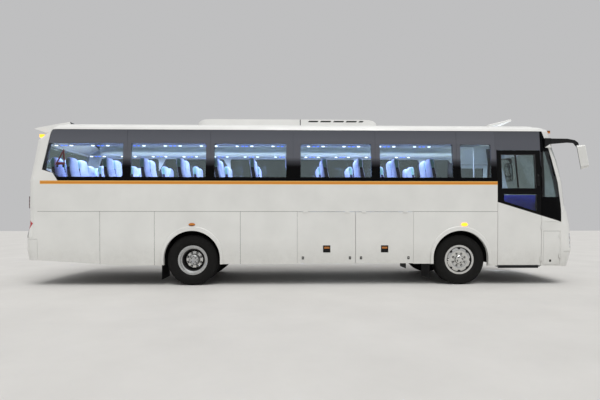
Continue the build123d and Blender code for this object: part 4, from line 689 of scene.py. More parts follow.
count = second_finish("roof_panel", ceiling_lining, lambda c, n: n.z < -0.5 and abs(c.y) < 1.26)
for name in (
    "side_panels", "driver_door", "passenger_door", "rear_panel", "front_panel", "service_flap", "boot_door",
):
    count += second_finish(
        name, grey_lining, lambda c, n: n.y * c.y < -0.3 and abs(c.y) < 1.262 and c.z > 0.9
    )
count += second_finish(
    "window_frames", ceiling_lining, lambda c, n: n.y * c.y < -0.3 and c.z > 2.9 and c.x < at(11)
)
# The visor's top takes the band's finish, whose grey there is painted sky reflection with painted shade.
count += second_finish("rear_visor", band_with_painted_sky_reflection, lambda c, n: c.z > 3.5)
count += second_finish("mirrors", black_plastic, lambda c, n: c.z > 3.015 or n.x < -0.75)
count += second_finish("side_glass", quarter_tint, lambda c, n: c.x > at(11.1))
for name, half, low, high in (("front_panel", 0.585, 0.83, 1.10), ("bumpers", 0.705, 0.435, 0.52)):
    count += second_finish(
        name, black_plastic,
        lambda c, n: abs(c.y) < half and low < c.z < high and 0.002 < front_x(c.z, c.y) - c.x < 0.040,
    )
for name in ("side_panels", "front_panel", "rear_panel"):
    count += second_finish(name, seal_rubber, in_seam)
# The dished middle of each rim, behind the front bowl and deep in the rear disc, is dark steel as painted
# shade.
for name in ("front_left_rim", "front_right_rim"):
    count += second_finish(
        name, dark_steel_and_painted_shade,
        lambda c, n: 0.11 < hypot(c.x - at(FRONT_AXLE), c.z - WHEEL_RADIUS) < 0.276 and abs(c.y) < 1.216,
    )
for name in ("rear_left_rims", "rear_right_rims"):
    count += second_finish(
        name, dark_steel_and_painted_shade, lambda c, n: 0.128 < hypot(c.x - at(REAR_AXLE), c.z - WHEEL_RADIUS) < 0.245,
    )
print("faces with a second finish:", count)


# %% Lamps by place
def lamp_kind(centre):
    """Names a lamp's finish from where it is."""
    if centre.z > 3.1:
        return amber_lit if centre.x < 0 else amber_lens
    if centre.x < at(0.5):
        return corner_lamp
    if centre.x > at(11.0):
        return clear_lens
    return amber_lit if centre.x > 2 else amber_lens


lamp_mesh = nodes["lamps"].data
kinds = [amber_lit, corner_lamp, clear_lens, amber_lens]
lamp_mesh.materials.clear()
for finish in kinds:
    lamp_mesh.materials.append(finish)
for face in lamp_mesh.polygons:
    face.material_index = kinds.index(lamp_kind(face.center))
print("lamp faces:", len(lamp_mesh.polygons))

# %% [markdown]
# ## Shapes from outlines
# Handles, frames, plates and vents are small pressings: a flat outline given a thickness and
# softened edges. Rails and rods are tubes along a path, and turned parts are lathe work. So
# three makers cover them, each adding to one mesh, and a last one turns that mesh into a
# piece that rides on a body of the coach.

# %% Shape makers
CORNER_STEPS = 4
TUBE_SIDES = 10


def round_outline(width, height, radius):
    """Gives the points of a rounded rectangle, anticlockwise."""
    points = []
    for cx, cy, turn in (
        (width / 2 - radius, height / 2 - radius, 0), (radius - width / 2, height / 2 - radius, 90),
        (radius - width / 2, radius - height / 2, 180), (width / 2 - radius, radius - height / 2, 270),
    ):
        for n in range(CORNER_STEPS + 1):
            angle = radians(turn + 90 * n / CORNER_STEPS)
            points.append((cx + radius * cos(angle), cy + radius * sin(angle)))
    return points


def place_on(origin, right, outward):
    """Gives the matrix of a flat place: local X is right, local Z is outward."""
    outward = Vector(outward).normalized()
    right = Vector(right)
    right = (right - outward * right.dot(outward)).normalized()
    up = outward.cross(right)
    return Matrix.Translation(origin) @ Matrix((right, up, outward)).transposed().to_4x4()


def add_plate(mesh, outline, place, depth, bevel=0.0, finish=0):
    """Adds a flat form of an outline, from the place's plane outward, with a bevelled face."""
    rings = [(0.0, 0.0)]
    if bevel:
        rings += [(depth - bevel, 0.0), (depth - 0.3 * bevel, 0.3 * bevel), (depth, bevel)]
    else:
        rings.append((depth, 0.0))
    cx = sum(p[0] for p in outline) / len(outline)
    cy = sum(p[1] for p in outline) / len(outline)
    size_x = max(abs(p[0] - cx) for p in outline)
    size_y = max(abs(p[1] - cy) for p in outline)
    layers = []
    for out, shrink in rings:
        layers.append([
            mesh.verts.new(place @ Vector((
                cx + (x - cx) * (1 - shrink / size_x), cy + (y - cy) * (1 - shrink / size_y), out
            )))
            for x, y in outline
        ])
    count = len(outline)
    made = [mesh.faces.new(list(reversed(layers[0]))), mesh.faces.new(layers[-1])]
    for low, high in zip(layers, layers[1:]):
        for n in range(count):
            made.append(mesh.faces.new((low[n], low[(n + 1) % count], high[(n + 1) % count], high[n])))
    for face in made:
        face.material_index = finish


def add_tube(mesh, path, radius, finish=0):
    """Adds a round bar along a path, closed at both ends."""
    path = [Vector(p) for p in path]
    layers = []
    for n, point in enumerate(path):
        ahead = path[min(n + 1, len(path) - 1)] - path[max(n - 1, 0)]
        frame_here = ahead.to_track_quat("Z", "Y").to_matrix()
        layers.append([
            mesh.verts.new(point + frame_here @ Vector((
                radius * cos(2 * pi * k / TUBE_SIDES), radius * sin(2 * pi * k / TUBE_SIDES), 0
            )))
            for k in range(TUBE_SIDES)
        ])
    made = [mesh.faces.new(list(reversed(layers[0]))), mesh.faces.new(layers[-1])]
    for low, high in zip(layers, layers[1:]):
        for n in range(TUBE_SIDES):
            after = (n + 1) % TUBE_SIDES
            made.append(mesh.faces.new((low[n], low[after], high[after], high[n])))
    for face in made:
        face.material_index = finish


def add_lathe(mesh, profile, place, sides, finish=0):
    """Turns a closed profile of radius and height about the place's outward axis."""
    columns = []
    for k in range(sides):
        angle = 2 * pi * k / sides
        columns.append([
            mesh.verts.new(place @ Vector((radius * cos(angle), radius * sin(angle), out)))
            for radius, out in profile
        ])
    count = len(profile)
    for k in range(sides):
        here, there = columns[k], columns[(k + 1) % sides]
        for n in range(count):
            face = mesh.faces.new((here[n], there[n], there[(n + 1) % count], here[(n + 1) % count]))
            face.material_index = finish


def finish_piece(mesh, name, finishes, body, smooth=35.0):
    """Turns the mesh into a piece with its finishes, riding on a body."""
    bmesh.ops.remove_doubles(mesh, verts=mesh.verts, dist=0.00002)
    bmesh.ops.dissolve_degenerate(mesh, edges=mesh.edges, dist=0.00001)
    bmesh.ops.recalc_face_normals(mesh, faces=mesh.faces)
    data = bpy.data.meshes.new(name)
    mesh.to_mesh(data)
    mesh.free()
    for finish in finishes:
        data.materials.append(finish)
    data.shade_smooth()
    data.set_sharp_from_angle(angle=radians(smooth))
    piece = bpy.data.objects.new(name, data)
    bpy.context.scene.collection.objects.link(piece)
    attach(piece, body)
    return piece


print("makers ready")

# %% [markdown]
# ## Tyres
# A coach tyre has straight ribs parted by zigzag grooves, sipes across the shoulders, and a
# side wall with a rim guard and fine rings. The tread is built as a grid round the tyre
# whose radius is lowered in the grooves, so the grooves are real shape. It stands where the
# plain solid tyre stands, which stays for contact.

# %% Tyres
GROOVE = 0.013
TREAD_STEPS = 168
TREAD_RADIUS = WHEEL_RADIUS - 0.0004


def tyre_mesh(mesh, centre_x, plane_y, sign):
    """Adds one tyre whose outer side looks along the sign."""
    ribs = (-0.108, -0.094, -0.052, -0.038, -0.007, 0.007, 0.038, 0.052, 0.094, 0.108)
    wall = (
        (0.1135, 0.312), (0.122, 0.330), (0.140, 0.352), (0.1485, 0.392), (0.1500, 0.424),
        (0.1485, 0.444), (0.1465, 0.446), (0.1450, 0.476), (0.1375, 0.500), (0.1290, 0.517),
    )
    rows = [(-out, radius, 0, 0) for out, radius in wall]
    rows.append((-0.113, TREAD_RADIUS, 0, 1))
    for n, out in enumerate(ribs):
        low_first = n % 2 == 0
        shift = 1 if n not in (0, 1, 8, 9) else 0.5
        for deep in ((0, 1) if low_first else (1, 0)):
            rows.append((out, TREAD_RADIUS - GROOVE * deep, shift, 0))
    rows.append((0.113, TREAD_RADIUS, 0, 1))
    rows += [(out, radius, 0, 0) for out, radius in reversed(wall)]
    rows += [(0.1, 0.2846, 0, 0), (-0.1, 0.2846, 0, 0)]
    columns = []
    for k in range(TREAD_STEPS):
        angle = 2 * pi * k / TREAD_STEPS
        zig = 0.006 if k % 4 < 2 else -0.006
        ring = []
        for out, radius, shift, shoulder in rows:
            if shoulder and k % 4 == 0:
                radius -= 0.009
            x = centre_x + radius * cos(angle)
            y = plane_y * sign + (out + zig * shift) * sign
            ring.append(mesh.verts.new((x, y, WHEEL_RADIUS + radius * sin(angle))))
        columns.append(ring)
    count = len(rows)
    for k in range(TREAD_STEPS):
        here, there = columns[k], columns[(k + 1) % TREAD_STEPS]
        for n in range(count):
            mesh.faces.new((here[n], there[n], there[(n + 1) % count], here[(n + 1) % count]))


for side, sign in SIDES:
    tread = bmesh.new()
    tyre_mesh(tread, at(FRONT_AXLE), WHEEL_PLANE, sign)
    piece = finish_piece(
        tread, f"front_{side}_tread", [tyre_rubber], f"wheel_front_{side}", smooth=28
    )
    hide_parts(f"front_{side}_tyre")
    tread = bmesh.new()
    tyre_mesh(tread, at(REAR_AXLE), WHEEL_PLANE, sign)
    tyre_mesh(tread, at(REAR_AXLE), INNER_TWIN_PLANE, sign)
    piece = finish_piece(
        tread, f"rear_{side}_treads", [tyre_rubber], f"wheel_rear_{side}", smooth=28
    )
    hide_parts(f"rear_{side}_tyres")
    print(side, "tread faces:", len(piece.data.polygons))

# %% [markdown]
# ## Passenger seats
# Each seat is foam moulded round a steel frame: a back that narrows at the neck and swells
# into a head rest, and a crowned cushion. The head of each back wears a loose cotton cover
# with teal sides. One seat is made of rings round its back's centre line and rounded forms
# for the cushion, and then placed for every row, so all seats share one shape. The covers
# stand a few millimetres off the foam, as cloth does.

# %% One seat
SEAT_PITCH = 0.790
SEAT_ROWS = 11
FIRST_SEAT = 0.980
COVER_LOW = 0.72
TEAL_LOW = 1.01
SEAT_LEGS = (0.440, 1.070)
BACK_RINGS = (
    (0.452, 0.052, 0.186, 0.040), (0.475, 0.046, 0.197, 0.058), (0.540, 0.030, 0.203, 0.065),
    (0.640, 0.000, 0.205, 0.062), (0.700, -0.016, 0.204, 0.060), (0.760, -0.032, 0.204, 0.060),
    (0.830, -0.048, 0.204, 0.056), (0.900, -0.061, 0.203, 0.052), (0.960, -0.071, 0.196, 0.049),
    (1.000, -0.077, 0.186, 0.048), (1.050, -0.084, 0.183, 0.053), (1.100, -0.090, 0.180, 0.057),
    (1.150, -0.093, 0.170, 0.056), (1.185, -0.093, 0.150, 0.048), (1.205, -0.092, 0.118, 0.034),
    (1.213, -0.092, 0.070, 0.016),
)


def seat_ring(height, ahead, half_width, half_depth, steps, grow=0.0):
    """Gives one soft rectangular ring of a seat back."""
    ring = []
    for k in range(steps):
        angle = 2 * pi * (k + 0.5) / steps
        c, s = cos(angle), sin(angle)
        x = (half_depth + grow) * (abs(c) ** 0.55) * (1 if c > 0 else -1)
        y = (half_width + grow) * (abs(s) ** 0.42) * (1 if s > 0 else -1)
        hollow = 0.007 * (1 - min(1, abs(y) / half_width) ** 2) if c > 0 and height < 0.95 else 0.0
        ring.append(Vector((ahead + x - hollow, y, height)))
    return ring


def add_rings(mesh, rings, origin, bottom=True):
    """Joins rings into a skin with a closed top, and a closed bottom where asked."""
    layers = [[mesh.verts.new(origin + p) for p in ring] for ring in rings]
    count = len(layers[0])
    made = []
    if bottom:
        made.append(mesh.faces.new(list(reversed(layers[0]))))
    made.append(mesh.faces.new(layers[-1]))
    for low, high in zip(layers, layers[1:]):
        for n in range(count):
            made.append(mesh.faces.new((low[n], low[(n + 1) % count], high[(n + 1) % count], high[n])))
    return made


def add_cushion(mesh, centre, half, tilt, steps=20, layers=9):
    """Adds a crowned cushion whose sides pull in between its corners."""
    rings = []
    for n in range(layers):
        rise = -1 + 2 * n / (layers - 1)
        spread = (1 - abs(rise) ** 3.2) ** (1 / 3.2)
        ring = []
        for k in range(steps):
            angle = 2 * pi * (k + 0.5) / steps
            c, s = cos(angle), sin(angle)
            corner = abs(c * s) * 2
            pull = 1 - 0.018 * (1 - corner)
            along = half[0] * (0.9 + 0.1 * spread) * (abs(c) ** 0.4) * (1 if c > 0 else -1)
            x = along * pull * max(spread, 0.55)
            y = half[1] * (abs(s) ** 0.36) * (1 if s > 0 else -1) * pull * max(spread, 0.6)
            crown = 0.014 * (1 - (x / half[0]) ** 2) * (1 - (y / half[1]) ** 2) if rise > 0 else 0.0
            ring.append(Vector((x, y, rise * half[2] + crown + tilt * x)))
        rings.append(ring)
    add_rings(mesh, rings, centre)


def seat_places(sign):
    """Lists the origin of every seat on one side: on the deck, at its row's station."""
    places = []
    for row in range(SEAT_ROWS):
        for inner, outer in ((0.330, 0.743), (0.767, 1.180)):
            y = sign * (inner + outer) / 2
            places.append(Vector((at(FIRST_SEAT + row * SEAT_PITCH), y, DECK_TOP)))
    return places


def add_seat(backs, covers, cushions, origin, cushion_ahead, cushion_half):
    """Adds one seat's back, its loose head cover with side pieces, and its cushion."""
    add_rings(backs, [seat_ring(*row, 24) for row in BACK_RINGS], origin)
    cover_rows = [row for row in BACK_RINGS if row[0] > COVER_LOW]
    rings = [seat_ring(*row, 24, grow=0.005) for row in cover_rows]
    for face in add_rings(covers, rings, origin + Vector((0, 0, 0.003)), bottom=False):
        face.normal_update()
        if abs(face.normal.y) > 0.72:
            face.material_index = 1 if face.calc_center_median().z > DECK_TOP + TEAL_LOW else 2
    add_cushion(cushions, origin + Vector((cushion_ahead, 0, 0.468)), (cushion_half, 0.203, 0.052), 0.03)


def finish_soft(mesh, name, finishes):
    """Turns seat foam or a cover into a padded piece on the coach."""
    piece = finish_piece(mesh, name, finishes, "coach", smooth=60)
    return piece


print("seats on each side:", len(seat_places(1)))

# %% All seats
for side, sign in SIDES:
    backs, covers, cushions, steel = bmesh.new(), bmesh.new(), bmesh.new(), bmesh.new()
    for origin in seat_places(sign):
        add_seat(backs, covers, cushions, origin, 0.305, 0.235)
        add_tube(steel, [origin + Vector((0.02, 0, 0.425)), origin + Vector((0.50, 0, 0.40))], 0.014)
    for row in range(SEAT_ROWS):
        x = at(FIRST_SEAT + row * SEAT_PITCH)
        for y in SEAT_LEGS:
            foot = Vector((x + 0.12, sign * y, DECK_TOP + 0.018))
            add_tube(steel, [foot, foot + Vector((0.0, 0, 0.385))], 0.017)
            add_tube(steel, [foot + Vector((0.26, 0, 0)), foot + Vector((0.22, 0, 0.385))], 0.017)
            add_tube(steel, [foot + Vector((-0.02, 0, 0)), foot + Vector((0.30, 0, 0))], 0.014)
        for along in (0.12, 0.34):
            bar_ends = [Vector((x + along, sign * y, DECK_TOP + 0.405)) for y in (0.338, 1.172)]
            add_tube(steel, bar_ends, 0.016)
        for y in (0.322, 1.188):
            arm_rest = [
                Vector((x + ahead, sign * y, DECK_TOP + up))
                for ahead, up in ((-0.01, 0.62), (0.06, 0.655), (0.30, 0.665), (0.34, 0.63), (0.16, 0.46))
            ]
            add_tube(steel, arm_rest, 0.013, finish=1)
    for y in SEAT_LEGS:
        rail = round_outline(0.044, 0.018, 0.004)
        start = (at(FIRST_SEAT) - 0.06, sign * y, DECK_TOP + 0.0095)
        add_plate(steel, rail, place_on(start, (0, 1, 0), (1, 0, 0)), (SEAT_ROWS - 1) * SEAT_PITCH + 0.62)
    seat_backs = finish_soft(backs, f"seat_backs_{side}", [moquette])
    head_covers = finish_soft(covers, f"head_covers_{side}", [pale_cotton_with_painted_blue_light, teal_cloth, moquette])
    finish_soft(cushions, f"seat_cushions_{side}", [moquette])
    seat_steel = finish_piece(
        steel, f"seat_frames_{side}", [silver_paint, black_plastic], "coach"
    )
    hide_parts("passenger_seats")
    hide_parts("passenger_seats")
    print(side, "seat faces:", len(seat_backs.data.polygons) + len(head_covers.data.polygons))

# %% Rear bench
# A last row stands against the rear wall, shorter in the cushion than the rows before it.
backs, covers, cushions = bmesh.new(), bmesh.new(), bmesh.new()
for y in (-0.9735, -0.5365, 0.5365, 0.9735):
    add_seat(backs, covers, cushions, Vector((at(0.66), y, DECK_TOP)), 0.16, 0.105)
finish_soft(backs, "rear_bench_backs", [moquette])
finish_soft(covers, "rear_bench_covers", [pale_cotton_with_painted_blue_light, teal_cloth, moquette])
finish_soft(cushions, "rear_bench_cushions", [moquette])
plinth = bmesh.new()
for sign in (-1, 1):
    spot = place_on((at(0.80), sign * 0.755, DECK_TOP), (0, 1, 0), (0, 0, 1))
    add_plate(plinth, round_outline(0.84, 0.20, 0.012), spot, 0.415, 0.004)
finish_piece(plinth, "rear_bench_plinths", [black_plastic], "coach")
print("rear bench seats: 4")

# %% [markdown]
# ## Reading lights
# Under the edge of each luggage rack runs a channel with a white reading light on either
# side of a pair of blue night lights, one set to a seat row.

# %% Reading lights
for side, sign in SIDES:
    channel = bmesh.new()
    lights = bmesh.new()
    start, end = at(0.44), at(9.94)
    strip = place_on((start, sign * 0.82, 3.0725), (0, 1, 0), (1, 0, 0))
    add_plate(channel, round_outline(0.10, 0.012, 0.004), strip, end - start)
    for row in range(SEAT_ROWS):
        x = at(0.632 + row * 0.803)
        for shift in (-0.165, 0.165):
            lamp = place_on((x + shift, sign * 0.82, 3.0665), (1, 0, 0), (0, 0, -1))
            glass = [(0.0, 0.0), (0.034, 0.0), (0.034, 0.007), (0.024, 0.010), (0.0, 0.010)]
            add_lathe(lights, glass, lamp, sides=16)
        for shift in (-0.045, 0.045):
            lamp = place_on((x + shift, sign * 0.82, 3.0665), (1, 0, 0), (0, 0, -1))
            add_plate(lights, round_outline(0.05, 0.03, 0.008), lamp, 0.008, 0.002, finish=1)
    finish_piece(channel, f"light_channel_{side}", [ceiling_lining], "coach")
    finish_piece(lights, f"reading_lights_{side}", [reading_light, night_light], "coach")
print("reading lights:", 2 * SEAT_ROWS * 2)

# %% [markdown]
# ## Handles and locks of the flaps
# Each luggage flap has a black moulded cup with an orange reflector over a pull handle, and
# two square locks at its lower corners. They ride on the flaps, so they open with them.

# %% Flap fittings
def skin_place(station, height, sign, out):
    """Gives a place on the side's skin, facing out, with local X along the coach."""
    lean = atan2(side_y(height - 0.02) - side_y(height + 0.02), 0.04)
    outward = Vector((0, sign * cos(lean), sin(lean)))
    on_skin = Vector((at(station), sign * side_y(height), height))
    return place_on(on_skin + outward * out, (-sign, 0, 0), outward)


for side, sign in SIDES:
    for n, (handle, locks) in enumerate(((6.461, (5.946, 6.959)), (7.708, (7.198, 8.226)))):
        cup = bmesh.new()
        spot = skin_place(handle, 0.782, sign, -0.022)
        add_plate(cup, round_outline(0.154, 0.150, 0.012), spot, 0.006)
        for dx, dy, w, h in (
            (0, 0.066, 0.154, 0.014), (0, -0.066, 0.154, 0.014),
            (-0.07, 0, 0.012, 0.150), (0.07, 0, 0.012, 0.150),
        ):
            outline = [(x + dx, y + dy) for x, y in round_outline(w, h, 0.004)]
            add_plate(cup, outline, spot, 0.0235, 0.002)
        outline = [(x, y - 0.028) for x, y in round_outline(0.10, 0.026, 0.010)]
        add_plate(cup, outline, spot @ Matrix.Translation((0, 0, 0.006)), 0.014, 0.003)
        outline = [(x, y + 0.032) for x, y in round_outline(0.118, 0.046, 0.006)]
        add_plate(cup, outline, spot @ Matrix.Translation((0, 0, 0.006)), 0.013, 0.002, finish=1)
        for station in locks:
            outline = round_outline(0.048, 0.062, 0.006)
            add_plate(cup, outline, skin_place(station, 0.589, sign, -0.002), 0.006, 0.002)
            add_lathe(
                cup, [(0.0, 0.0), (0.011, 0.0), (0.011, 0.003), (0.0, 0.003)],
                skin_place(station, 0.589, sign, 0.0035), sides=16, finish=2,
            )
        finish_piece(
            cup, f"flap_fittings_{side}_{n + 1}", [black_plastic, amber_lens, bright_steel],
            f"luggage_flap_{side}_{n + 1}",
        )
lock = bmesh.new()
add_plate(lock, round_outline(0.044, 0.050, 0.006), skin_place(11.329, 0.52, -1, -0.002), 0.006, 0.002)
finish_piece(lock, "service_flap_lock", [black_plastic], "service_flap")
print("flap fittings made")

# %% [markdown]
# ## Driver's door and what hangs in the windows
# The door's pane has a sliding half with a dark bar at its edge, an upright grip on the
# front post and a blue trim panel inside. A black bar under the door is the first step. A
# red warning triangle stands in the rear side window.

# %% Door trim and triangle
def bar_between(mesh, low, high, width, out, depth, finish=0):
    """Adds a flat bar on the right side's skin between two places given as station and height."""
    (s0, z0), (s1, z1) = low, high
    spot = skin_place((s0 + s1) / 2, (z0 + z1) / 2, -1, out)
    foot = spot.inverted() @ skin_place(s0, z0, -1, out).translation
    head = spot.inverted() @ skin_place(s1, z1, -1, out).translation
    outline = [
        (foot.x - width / 2, foot.y), (foot.x + width / 2, foot.y),
        (head.x + width / 2, head.y), (head.x - width / 2, head.y),
    ]
    if foot.y > head.y:
        outline.reverse()
    add_plate(mesh, outline, spot, depth, 0.002, finish=finish)


trim = bmesh.new()
bar_between(trim, (10.613, 2.105), (10.574, 2.830), 0.036, -0.004, 0.010)
for low, high, width in (
    ((10.262, 2.10), (10.262, 2.83), 0.012), ((11.012, 2.10), (11.012, 2.83), 0.012),
    ((10.637, 2.822), (10.637, 2.834), 0.76),
):
    bar_between(trim, low, high, width, -0.003, 0.005, finish=1)
grip = skin_place(11.058, 2.270, -1, 0.0)
add_plate(trim, round_outline(0.050, 0.250, 0.024), grip, 0.012, 0.004)
bends = ((-0.10, 0.008), (-0.08, 0.034), (0.08, 0.034), (0.10, 0.008))
add_tube(trim, [grip @ Vector((0, up, out)) for up, out in bends], 0.010)
finish_piece(trim, "driver_door_trim", [black_plastic, dark_steel_and_painted_shade], "driver_door")
inner = bmesh.new()
panel = place_on((at(10.66), -1.105, 1.80), (1, 0, 0), (0, -1, 0))
add_plate(inner, [(-0.36, -0.04), (0.45, -0.225), (0.45, 0.155), (-0.36, 0.155)], panel, 0.014, 0.004)
pocket = [(0.03, -0.08), (0.27, -0.135), (0.27, 0.02), (0.03, 0.05)]
add_plate(inner, pocket, panel @ Matrix.Translation((0, 0, 0.014)), 0.010, 0.004)
finish_piece(inner, "driver_door_inner_panel", [blue_vinyl], "driver_door")
step = bmesh.new()
beam = place_on((at(10.64), -1.225, 0.383), (1, 0, 0), (0, -1, 0))
add_plate(step, round_outline(0.870, 0.046, 0.010), beam, 0.045, 0.004)
for station in (10.36, 10.92):
    arm = place_on((at(station), -1.215, 0.430), (1, 0, 0), (0, -1, 0))
    add_plate(step, round_outline(0.040, 0.150, 0.006), arm, 0.010, 0.002)
finish_piece(step, "door_step_bar", [black_plastic], "coach")
triangle = bmesh.new()
corners = [(0.085, 0.350), (-0.105, 0.0), (0.105, 0.0)]
spot = place_on((at(0.75), -1.190, 2.590), (1, 0, 0), (0, -1, 0))
for n in range(3):
    (x0, y0), (x1, y1) = corners[n], corners[(n + 1) % 3]
    mx, my = sum(c[0] for c in corners) / 3, sum(c[1] for c in corners) / 3
    inside = [(mx + (x - mx) * 0.56, my + (y - my) * 0.56) for x, y in ((x1, y1), (x0, y0))]
    add_plate(triangle, [(x0, y0), (x1, y1)] + inside, spot, 0.006, 0.001)
for x in (-0.06, 0.07):
    foot = [(x - 0.02, -0.06), (x + 0.02, -0.06), (x + 0.02, 0.0), (x - 0.02, 0.0)]
    add_plate(triangle, foot, spot, 0.005, finish=1)
finish_piece(triangle, "warning_triangle", [warning_red, black_plastic], "coach")
print("door trim, step bar and warning triangle made")

# %% [markdown]
# ## Wheel nuts and hubs
# Eight nuts hold each wheel to its hub, on a circle of 267 mm in front and 312 mm behind,
# with the stud's end showing in each nut. A nut is lathe work with six sides. The front
# nuts sit on a pressed bowl with vent holes and the rear ones on a flange ring deep in the
# dished disc, and the hub caps carry four slots. The dark steel of the washers, the cap
# slots, the eight hexagons on the rear caps and the rims' dishes is painted shade.

# %% Nuts and hub caps
def wheel_place(station, y, sign):
    """Gives a wheel's outward place at a distance from the middle."""
    return place_on((at(station), sign * y, WHEEL_RADIUS), (1, 0, 0), (0, sign, 0))


def add_nuts(mesh, place, ring_radius, size):
    """Adds eight hexagonal nuts with stud ends, each on a washer whose dark colour is painted shade."""
    for n in range(8):
        angle = pi / 8 + n * pi / 4
        spot = place @ Matrix.Translation((ring_radius * cos(angle), ring_radius * sin(angle), 0))
        wide = size * 1.7
        # The washer's dark colour is painted shade round the nut.
        washer = [(0.0, -0.002), (wide, -0.002), (wide, 0.004), (0.0, 0.004)]
        add_lathe(mesh, washer, spot, sides=20, finish=1)
        nut = [(0.0, 0.003), (size * 1.06, 0.003), (size * 1.06, 0.024), (size * 0.82, 0.029), (0.0, 0.029)]
        add_lathe(mesh, nut, spot, sides=6)
        add_lathe(mesh, [(0.0, 0.02), (size * 0.5, 0.02), (size * 0.5, 0.038), (0.0, 0.040)], spot, sides=10)


BOWL = (
    (0.264, 0.088), (0.262, 0.094), *((0.256 - 0.006 * n, 0.098 + 0.002 * n) for n in range(8)),
    (0.205, 0.1145), (0.190, 0.116), (0.176, 0.114), (0.166, 0.110), (0.160, 0.1085), (0.128, 0.1085),
    (0.101, 0.1085),
)
VENT_RING, VENT_HALF_LENGTH, VENT_HALF_WIDTH = 0.241, 0.030, 0.019


def add_bowl(mesh, place):
    """Adds the pressed bowl of a front wheel with eight rounded vent holes near its edge."""
    count = 192
    columns = []
    for k in range(count):
        angle = 2 * pi * k / count
        columns.append([
            mesh.verts.new(place @ Vector((r * cos(angle), r * sin(angle), out))) for r, out in BOWL
        ])
    for k in range(count):
        off_hole = ((k + 12) % 24 - 11.5) * 2 * pi / count * VENT_RING
        for n in range(len(BOWL) - 1):
            middle = (BOWL[n][0] + BOWL[n + 1][0]) / 2
            if (off_hole / VENT_HALF_LENGTH) ** 2 + ((middle - VENT_RING) / VENT_HALF_WIDTH) ** 2 > 1:
                here, there = columns[k], columns[(k + 1) % count]
                mesh.faces.new((here[n], there[n], there[n + 1], here[n + 1]))


for side, sign in SIDES:
    bowl = bmesh.new()
    add_bowl(bowl, wheel_place(FRONT_AXLE, WHEEL_PLANE, sign))
    finish_piece(bowl, f"front_{side}_bowl", [bright_steel], f"wheel_front_{side}", smooth=50)
    nuts = bmesh.new()
    add_nuts(nuts, wheel_place(FRONT_AXLE, WHEEL_PLANE + 0.108, sign), 0.1335, 0.015)
    cap = wheel_place(FRONT_AXLE, WHEEL_PLANE + 0.148, sign)
    disc = [(0.0, -0.002), (0.086, -0.012), (0.086, -0.004), (0.080, 0.0005), (0.0, 0.002)]
    add_lathe(nuts, disc, cap, sides=40)
    # The cap's four dark slots are painted shade.
    for n in range(4):
        turn = Matrix.Rotation(n * pi / 2 + pi / 9, 4, "Z")
        slot_place = cap @ turn @ Matrix.Translation((0.058, 0, 0.001))
        add_plate(nuts, round_outline(0.020, 0.046, 0.008), slot_place, 0.0015, 0.0004, finish=1)
    valve = wheel_place(FRONT_AXLE, WHEEL_PLANE + 0.064, sign) @ Matrix.Translation((0.206, 0.02, -0.004))
    add_lathe(nuts, [(0.0, 0.0), (0.006, 0.0), (0.005, 0.034), (0.0, 0.036)], valve, sides=10, finish=1)
    finish_piece(
        nuts, f"front_{side}_nuts", [bright_steel, dark_steel_and_painted_shade], f"wheel_front_{side}",
        smooth=30,
    )
    flange = bmesh.new()
    ring = [
        (0.127, 0.096), (0.190, 0.090), (0.195, 0.093), (0.196, 0.100), (0.190, 0.107), (0.172, 0.110),
        (0.127, 0.112),
    ]
    add_lathe(flange, ring, wheel_place(REAR_AXLE, REAR_DISC_PLANE, sign), sides=64)
    finish_piece(
        flange, f"rear_{side}_flange", [bright_steel], f"wheel_rear_{side}", smooth=40
    )
    nuts = bmesh.new()
    add_nuts(nuts, wheel_place(REAR_AXLE, REAR_DISC_PLANE + 0.111, sign), 0.1560, 0.016)
    cap = wheel_place(REAR_AXLE, REAR_DISC_PLANE + 0.222, sign)
    # The rear cap's dark slots and the eight dark hexagons round its middle are painted shade.
    for n in range(4):
        turn = Matrix.Rotation(n * pi / 2 + pi / 4, 4, "Z")
        slot_place = cap @ turn @ Matrix.Translation((0.055, 0, -0.001))
        add_plate(nuts, round_outline(0.014, 0.040, 0.006), slot_place, 0.0025, 0.0005, finish=1)
    for n in range(8):
        angle = n * pi / 4
        spot = cap @ Matrix.Translation((0.082 * cos(angle), 0.082 * sin(angle), -0.002))
        add_lathe(nuts, [(0.0, 0.0), (0.011, 0.0), (0.011, 0.008), (0.0, 0.009)], spot, sides=6, finish=1)
    finish_piece(
        nuts, f"rear_{side}_nuts", [silver_paint, dark_steel_and_painted_shade], f"wheel_rear_{side}", smooth=30
    )
print("nuts on each wheel: 8")

# %% [markdown]
# ## Trim that follows the bowed ends
# The front and rear skins are bowed, so a reflector there is a strip bent to the same curve:
# a grid between two heights and two distances from the middle, lifted off the skin and given
# a thickness. Small lamps and plates are flat and only lean as the skin does at their place.

# %% Bent strips
def add_strip(mesh, skin, direction, y_from, y_to, low, high, lift, depth, steps, rows, finish):
    """Adds a bent strip whose back lies under the skin and whose face is lifted off it."""
    layers = []
    for out in (lift - depth, lift):
        sheet = []
        for r in range(rows + 1):
            height = low + (high - low) * r / rows
            sheet.append([
                mesh.verts.new((skin(height, y) + direction * out, y, height))
                for y in (y_from + (y_to - y_from) * k / steps for k in range(steps + 1))
            ])
        layers.append(sheet)
    back, face = layers
    made = []
    for r in range(rows):
        for k in range(steps):
            made.append(mesh.faces.new((face[r][k], face[r][k + 1], face[r + 1][k + 1], face[r + 1][k])))
            made.append(mesh.faces.new((back[r][k], back[r + 1][k], back[r + 1][k + 1], back[r][k + 1])))
    for k in range(steps):
        made.append(mesh.faces.new((back[0][k], back[0][k + 1], face[0][k + 1], face[0][k])))
        made.append(mesh.faces.new((face[rows][k], face[rows][k + 1], back[rows][k + 1], back[rows][k])))
    for r in range(rows):
        made.append(mesh.faces.new((back[r][0], face[r][0], face[r + 1][0], back[r + 1][0])))
        made.append(mesh.faces.new((back[r][steps], back[r + 1][steps], face[r + 1][steps], face[r][steps])))
    for part in made:
        part.material_index = finish


